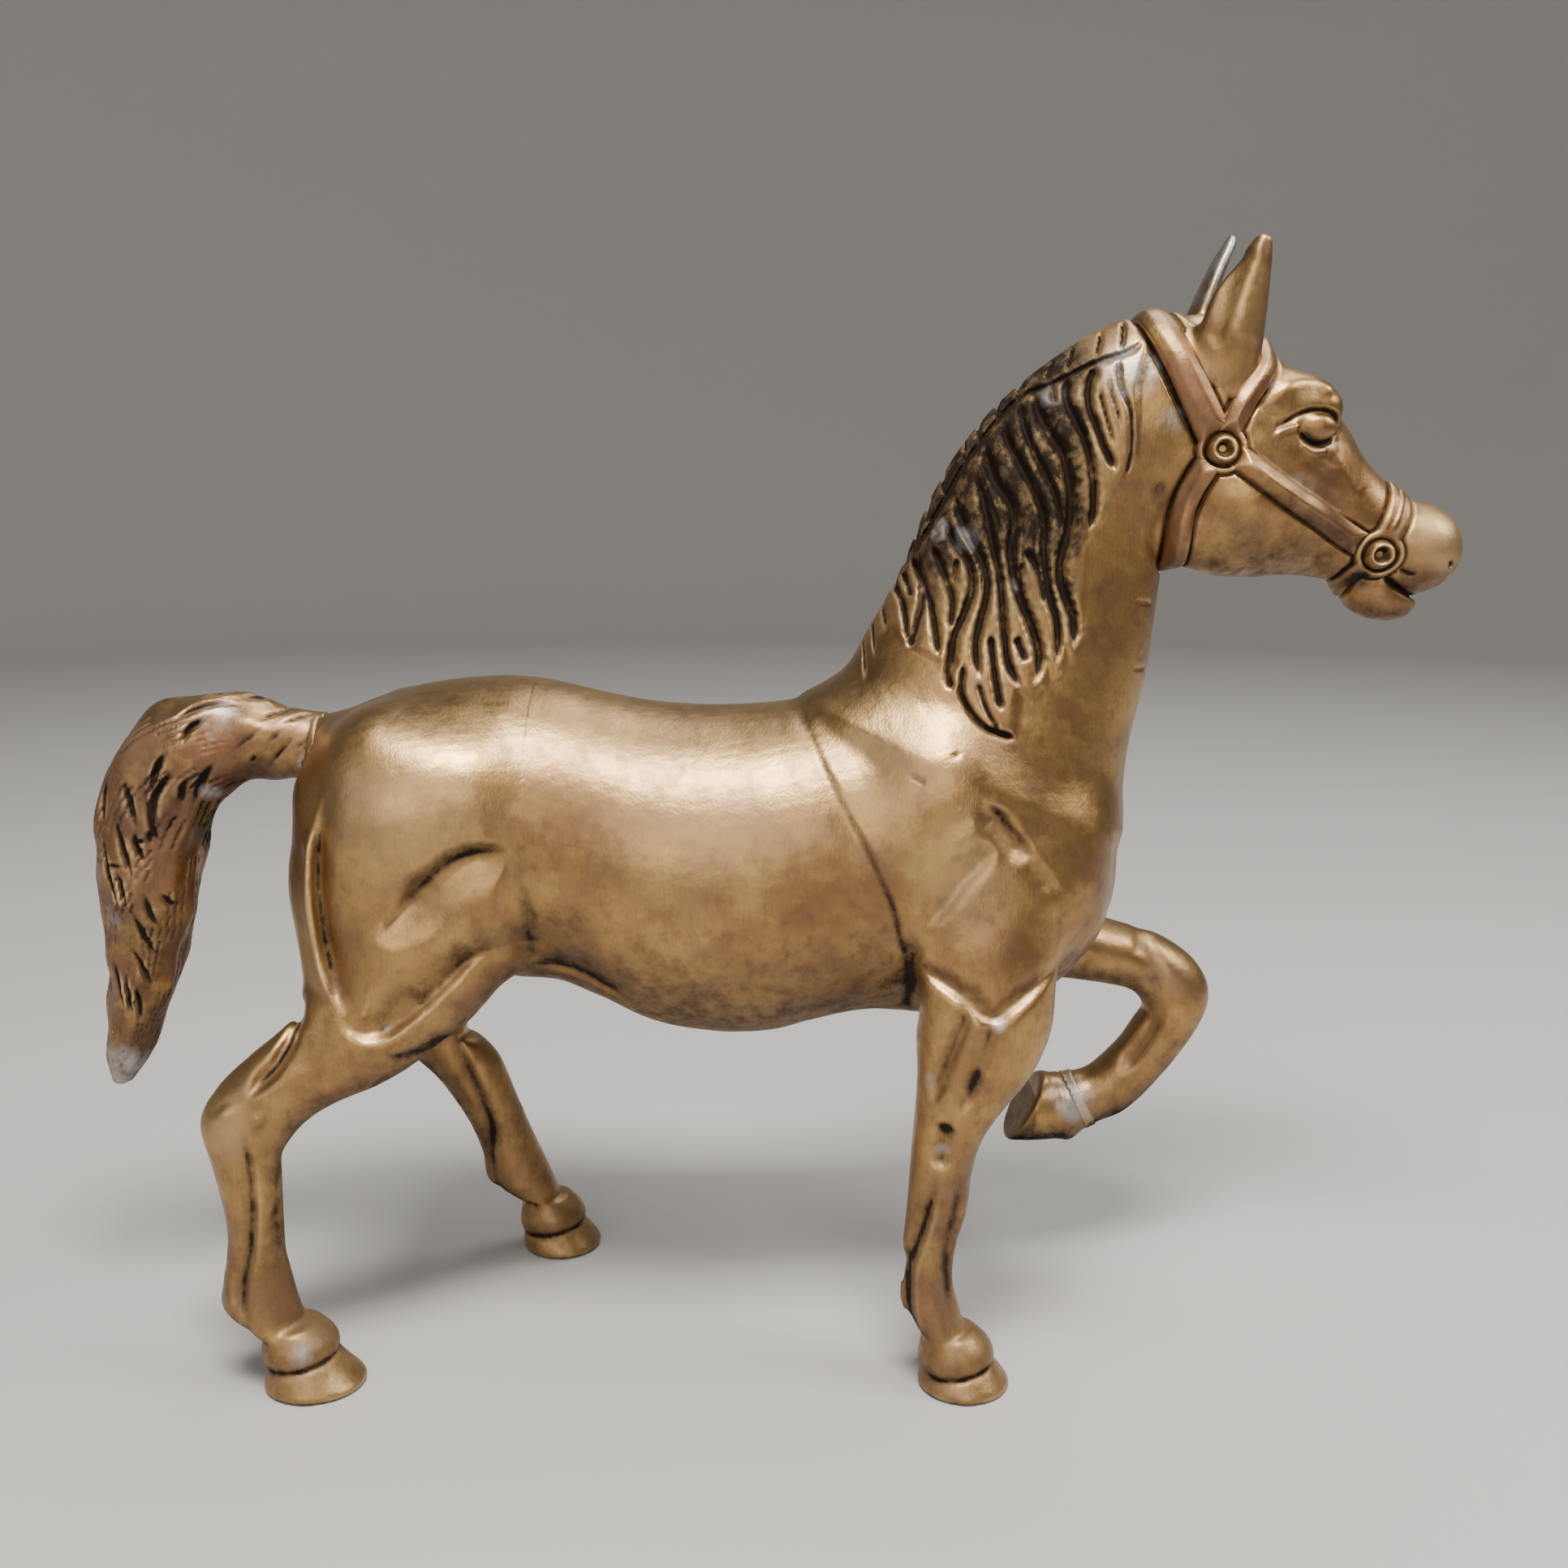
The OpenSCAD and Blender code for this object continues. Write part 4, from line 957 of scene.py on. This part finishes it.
def bronze(name, golden, brown, grime_and_shade_reach, rough):
    """Aged cast bronze: golden on its heights from edge wear and painted highlights, brown in between, and
    nearly black in its cuts from dark patina, with painted shade in its hollows, underneath and low down.
    """
    mat = bpy.data.materials.new(name)
    mat.use_nodes = True
    tree = mat.node_tree
    shader = tree.nodes["Principled BSDF"]
    place = node(tree, "TexCoord", {}).outputs["Object"]
    grime_and_shade = node(tree, "Attribute", {}, attribute_name="grime_and_shade").outputs["Fac"]
    wear_and_highlight = node(tree, "Attribute", {}, attribute_name="wear_and_highlight").outputs["Fac"]
    solder_and_reflection = node(tree, "Attribute", {}, attribute_name="solder_and_reflection").outputs["Fac"]
    clouds = texture(tree, place, (38, 38, 30), 5)
    mottle = texture(tree, place, (260, 260, 200), 6, 0.7)
    stain = texture(tree, place, (95, 80, 120), 4, 0.65)
    brushed = texture(tree, place, (2600, 2600, 110), 3)
    grain = texture(tree, place, (1500, 1500, 1500), 4)
    pitting = texture(tree, place, (620, 620, 620), 1)

    colour = mix(tree, ramp(tree, clouds, 0.36, 0.64), golden, brown)
    for share, tint in (
        (ramp(tree, stain, 0.5, 0.68, 0.6), PURPLISH),
        (ramp(tree, stain, 0.46, 0.3, 0.5), YELLOW),
        (ramp(tree, mottle, 0.5, 0.72, 0.55), RUSTY),
        (ramp(tree, brushed, 0.5, 0.75, 0.4), STREAK),
        # Edge wear and painted highlights in the polished tint
        (ramp(tree, wear_and_highlight, 0.0, 1.0, 0.65), POLISH_AND_HIGHLIGHT),
    ):
        colour = mix(tree, share, colour, tint)
    # Nearly black from dirt and patina in cuts and from painted shade in hollows, underneath and low down
    dark = add(tree, times(tree, grime_and_shade, ramp(tree, mottle, 0.25, 0.62)), grime_and_shade)
    dark = ramp(tree, dark, 0.25, 1.5, grime_and_shade_reach)
    colour = mix(tree, dark, colour, PATINA_AND_SHADE)
    # Solder grey flecks; those over the mane are painted reflections
    fleck = times(tree, solder_and_reflection, ramp(tree, mottle, 0.3, 0.6))
    colour = mix(tree, ramp(tree, fleck, 0.1, 0.75, 0.85), colour, SOLDER_AND_REFLECTION_GREY)
    tree.links.new(colour, shader.inputs["Base Color"])

    metal = node(tree, "Math", {0: ramp(tree, dark, 1.0, 0.0), 1: 0.35}, operation="MAXIMUM").outputs[0]
    tree.links.new(metal, shader.inputs["Metallic"])
    tone = add(tree, ramp(tree, clouds, 0.3, 0.7, 0.14), rough)
    tone = add(tree, tone, ramp(tree, mottle, 0.4, 0.7, 0.12))
    tone = add(tree, tone, ramp(tree, dark, 0.0, 1.0, 0.25))
    tree.links.new(tone, shader.inputs["Roughness"])

    inputs = {}
    for height, strength, distance in ((brushed, 0.6, 6e-5), (grain, 0.45, 1e-4), (pitting, 0.25, 2e-4)):
        inputs.update(Height=height, Strength=strength, Distance=distance)
        inputs["Normal"] = node(tree, "Bump", inputs).outputs[0]
    tree.links.new(inputs["Normal"], shader.inputs["Normal"])
    tree.links.new(ramp(tree, dark, 1.0, 0.0, 0.5), shader.inputs["Specular IOR Level"])
    tree.links.new(ramp(tree, dark, 0.8, 0.0, 0.3), shader.inputs["Coat Weight"])
    shader.inputs["Coat Roughness"].default_value = 0.36
    return mat


METALS = {
    "bronze": bronze("bronze", (0.43, 0.25, 0.088, 1), (0.23, 0.12, 0.046, 1), 0.97, 0.27),
    "dark_bronze": bronze("dark_bronze", (0.32, 0.165, 0.07, 1), (0.16, 0.08, 0.038, 1), 0.95, 0.31),
    "silver_braze": bronze("silver_braze", (0.46, 0.36, 0.24, 1), (0.34, 0.24, 0.15, 1), 0.9, 0.38),
}


# ---------------------------------------------------------------- the castings


LEG_REACH = 2.6  # how far round a leg's own loft its casting goes, mm
FOOT_REACH = 2


def trunk_castings():
    """The ribcage, and the brazing at both its ends."""
    block = Block((-52, -37, 60), (38, 37, 156), 0.65)
    ahead = block.ahead(SHOULDER_SEAM)
    block.casting("barrel_casting", overlap(FLANK_X - block.grid.x, -ahead))
    block.bead("shoulder_seam_braze", ahead, 0.9, 0)
    block.bead("flank_seam_braze", block.ahead(FLANK_SEAM), 0.9, 0)


def forehand_castings():
    """The chest and shoulders, both fore legs and the raised foot."""
    block = Block((0, -42, -1), (110, 36, 158), 0.6, mane_cuts)
    grid = block.grid
    chest = overlap(block.ahead(SHOULDER_SEAM), -block.beyond(NECK_SEAM))
    below = block.sheet.signed(FORE_SEAM)[:, None, :]
    leg = soft_min(grid.skin(RIGHT_FORE), grid.skin(RIGHT_FORE_HOOF), 1) - LEG_REACH
    leg = overlap(leg, below, grid.y)
    raised = soft_min(grid.skin(LEFT_FORE), grid.skin(LEFT_FOOT), 1) - LEG_REACH
    raised = overlap(raised, RAISED_X - grid.x, -grid.y)
    beyond = block.beyond(PASTERN)
    foot = overlap(grid.skin(LEFT_FOOT) - FOOT_REACH, beyond, -grid.y)
    block.casting("forehand_casting", overlap(chest, -leg, -raised))
    block.casting("right_fore_leg", leg)
    block.casting("left_fore_leg", overlap(raised, -foot))
    block.casting("left_fore_foot", foot)
    block.bead("right_elbow_braze", below, 1, 0, overlap(leg - 3, grid.y))
    block.bead("pastern_braze", beyond, 3, 0.35, overlap(raised - 1, 68 - grid.x))


def hind_castings():
    """The croup and haunches, both hind legs and the brazing at the tail's root."""
    block = Block((-126, -42, -1), (-38, 42, 156), 0.6)
    grid = block.grid
    flank = grid.x - FLANK_X
    legs = overlap(grid.z - HIND_Z, np.minimum(flank, grid.z - 62))
    block.casting("hindquarter_casting", overlap(flank, -tail_part(grid), HIND_Z - grid.z))
    block.casting("right_hind_leg", overlap(legs, grid.y))
    block.casting("left_hind_leg", overlap(legs, -grid.y))
    root = overlap(grid.skin(TAIL) - 2.4, grid.x + 90)
    block.bead("tail_root_braze", grid.x - TAIL_X + 0 * grid.z, 1.6, 0.15, root)


def neck_casting():
    block = Block((4, -32, 128), (92, 32, 234), 0.42, mane_cuts)
    block.casting("neck_casting", overlap(block.beyond(NECK_SEAM), block.grid.x - POLL_X))


def head_castings():
    """The head, and its bridle: straps that follow the plain head under them, and four rings."""
    block = Block((74, -20, 160), (155, 20, 234), 0.31)
    grid, clean = block.grid, 0 * block.ink
    block.casting("head_casting", POLL_X - grid.x + 0 * grid.z)
    sides = (("right_", grid.y + 0 * grid.x), ("left_", -grid.y + 0 * grid.x))
    for name, (edge, proud) in bridle_edges(block.sheet).items():
        edge = edge[:, None, :]
        top = proud * (1.1 - 0.65 * smooth_step(-2.8, 0.2, edge))
        if name == "noseband":
            top = top - 0.5 * np.exp(-(((edge + 2.2) / 0.7) ** 2))
        strap = overlap(soft_max(block.plain - top, edge, 1), -(block.plain + STRAP_DEPTH))
        for side, half in sides if name == "cheekpiece" else [("", strap)]:
            mesh_piece(side + name, grid, overlap(strap, half), strap, clean, "dark_bronze")
    for name, centre in (("rosette", ROSETTE), ("bit_ring", BIT)):
        radius = ring_radius(block.sheet, centre)[:, None, :]
        top = 1.8 * np.exp(-(((radius - 2.1) / 0.85) ** 2)) - 0.5 * np.exp(-((radius / 1.1) ** 2)) + 0.2
        # Painted shade: the middle of each ring is darkened as the inside of a hole
        hole = 0.9 * np.exp(-((radius / 1.15) ** 2)) + clean
        ring = overlap(soft_max(block.plain - top, radius - RING_RADIUS, 0.5), -(block.plain + STRAP_DEPTH))
        for side, half in sides:
            mesh_piece(side + name, grid, overlap(ring, half), ring, hole)


RIGHT_EAR = [
    (97.6, -8.6, 212.6, 90, 2.2, 2.4), (97.3, -9.4, 216.4, 90, 4.6, 3.6), (97, -10.2, 221, 90, 6, 4.2),
    (96.8, -11, 226, 90, 6.4, 4), (97.6, -11.6, 231, 86, 5.6, 3.3), (98.9, -12, 235.5, 83, 4.2, 2.5),
    (100.3, -12.2, 239, 80, 2.6, 1.8), (101.5, -12.3, 241.6, 78, 1.1, 1.1),
]
LEFT_EAR = [
    (92, 8, 218, 66, 4, 4), (93.2, 9, 223.6, 66, 3, 4.8), (94.6, 9.6, 229, 66, 2.3, 4.9),
    (96.6, 10, 234.4, 66, 2, 4.5), (98.8, 10.4, 239.6, 66, 1.7, 3.5), (100.8, 10.6, 243.6, 66, 1.3, 2.2),
    (101.6, 10.7, 245.6, 66, 0.7, 1.1),
]


def ears():
    """Both ears, each blended into the head around its root."""
    for name, sections in (("right_ear", RIGHT_EAR), ("left_ear", LEFT_EAR)):
        places = np.array(sections)
        reach = np.maximum(places[:, 4], places[:, 5])[:, None] + 5
        grid = Grid((places[:, :3] - reach).min(0), (places[:, :3] + reach).max(0), 0.3)
        sheet = Sheet(grid)
        if name == "right_ear":
            sheet.stroke([(102.4, 246), (99.6, 237), (96.8, 229), (94.6, 220)], -1, 4.2, 1.8)
            # Painted shade: the ear's left facet is inked darker beside its ridge
            sheet.stroke([(98.6, 241), (94.8, 232), (92.6, 220)], 0.9, 2, ink=0.4, pen=2)
        ear = grid.skin(sections) + sheet.cuts[:, None, :] - sheet.swells[:, None, :]
        solid = soft_min(ear, box_blur(body(grid), 1), 3.5)
        ink = 0.45 * smooth_step(219, 214, grid.z) * smooth_step(-2, 0.5, ear) + 0 * ear
        mesh_piece(name, grid, np.maximum(solid, ear - 3.4), solid, ink)


def tail_part(grid):
    """Negative in the tail: all that is well behind the rump, and what lies close to the tail's own loft."""
    return np.maximum(grid.x - TAIL_X, np.minimum(grid.skin(TAIL) - 1.6, grid.x + 107))


def tail_casting():
    block = Block((-155, -16, 52), (-93, 16, 152), 0.42, tail_cuts)
    grid = block.grid
    block.deepen(tail_hair(grid))
    places = np.stack(np.broadcast_arrays(grid.x, grid.y, grid.z), -1)
    knobs = waves(places.reshape(-1, 3), 9, 3).reshape(grid.count)
    block.solid = block.solid + (0.5 * knobs).astype(np.float32)
    block.casting("tail_casting", tail_part(grid), slot="dark_bronze")


def tail_cuts(both, _right):
    """The tail's drawn locks, on both its sides."""
    for points, depth, width in TAIL_CUTS:
        both.stroke(points, depth, 0.7 * width, 1.1 * width, ends=0.45, pen=0.8 * width)


trunk_castings()
forehand_castings()
hind_castings()
neck_casting()
head_castings()
ears()
tail_casting()


# ---------------------------------------------------------------- stage


def plain(name, colour, rough):
    """A material with one colour."""
    mat = bpy.data.materials.new(name)
    mat.use_nodes = True
    shader = mat.node_tree.nodes["Principled BSDF"]
    shader.inputs["Base Color"].default_value = (*colour, 1)
    shader.inputs["Roughness"].default_value = rough
    return mat


HUB = 0.001  # radius of the face in the middle of the floor


def bowl(name, radius, bend, height):
    """A round floor that curves up into a backdrop on every side."""
    turn = np.linspace(0, math.pi / 2, 24)
    curve = [(HUB, 0.0)] + [(radius + bend * math.sin(t), bend - bend * math.cos(t)) for t in turn]
    curve.append((radius + bend, height))
    around = np.linspace(0, 2 * math.pi, 96, endpoint=False)
    count = len(around)
    verts = [(r * math.cos(a), r * math.sin(a), z) for r, z in curve for a in around]
    faces = [tuple(range(count))]
    for start in range(0, count * (len(curve) - 1), count):
        for k in range(count):
            after = (k + 1) % count
            faces.append((start + k, start + count + k, start + count + after, start + after))
    mesh = bpy.data.meshes.new(name)
    mesh.from_pydata(verts, [], faces)
    mesh.polygons.foreach_set("use_smooth", np.ones(len(faces), bool))
    made = bpy.data.objects.new(name, mesh)
    bpy.context.scene.collection.objects.link(made)
    return made


floor = bowl("floor", 1.6, 0.9, 3)
floor.data.materials.append(plain("floor", (0.5, 0.485, 0.465), 0.7))

camera_data = bpy.data.cameras.new("camera")
camera_data.sensor_width = 36
camera_data.lens = 36.06
camera = bpy.data.objects.new("camera", camera_data)
camera.location = (0.0046, -0.345, 0.1943)
camera.rotation_euler = (math.radians(90 - 11), 0, 0)
bpy.context.scene.collection.objects.link(camera)
bpy.context.scene.camera = camera


def area_light(name, place, size, power, colour=(1, 1, 1), target=(0, 0, 0.12)):
    data = bpy.data.lights.new(name, "AREA")
    data.shape = "RECTANGLE"
    data.size, data.size_y = size
    data.energy = power
    data.color = colour
    lamp = bpy.data.objects.new(name, data)
    lamp.location = place
    lamp.rotation_euler = (Vector(target) - Vector(place)).to_track_quat("-Z", "Y").to_euler()
    bpy.context.scene.collection.objects.link(lamp)


area_light("key", (0.02, -0.45, 1.1), (0.5, 0.3), 19, (1, 0.97, 0.93))
area_light("front", (-0.2, -1.5, 0.65), (1.8, 0.9), 12, (1, 0.97, 0.93))
area_light("side", (0.95, -0.25, 0.9), (0.45, 0.45), 8, (1, 0.97, 0.94))
area_light("fill", (-1.1, -0.7, 0.45), (0.5, 0.7), 1.6, (0.95, 0.97, 1))
area_light("rim", (0.3, 0.45, 1.2), (0.5, 0.5), 5)
world = bpy.data.worlds.new("world")
world.use_nodes = True
world.node_tree.nodes["Background"].inputs["Color"].default_value = (0.75, 0.78, 0.82, 1)
world.node_tree.nodes["Background"].inputs["Strength"].default_value = 0.15
bpy.context.scene.world = world
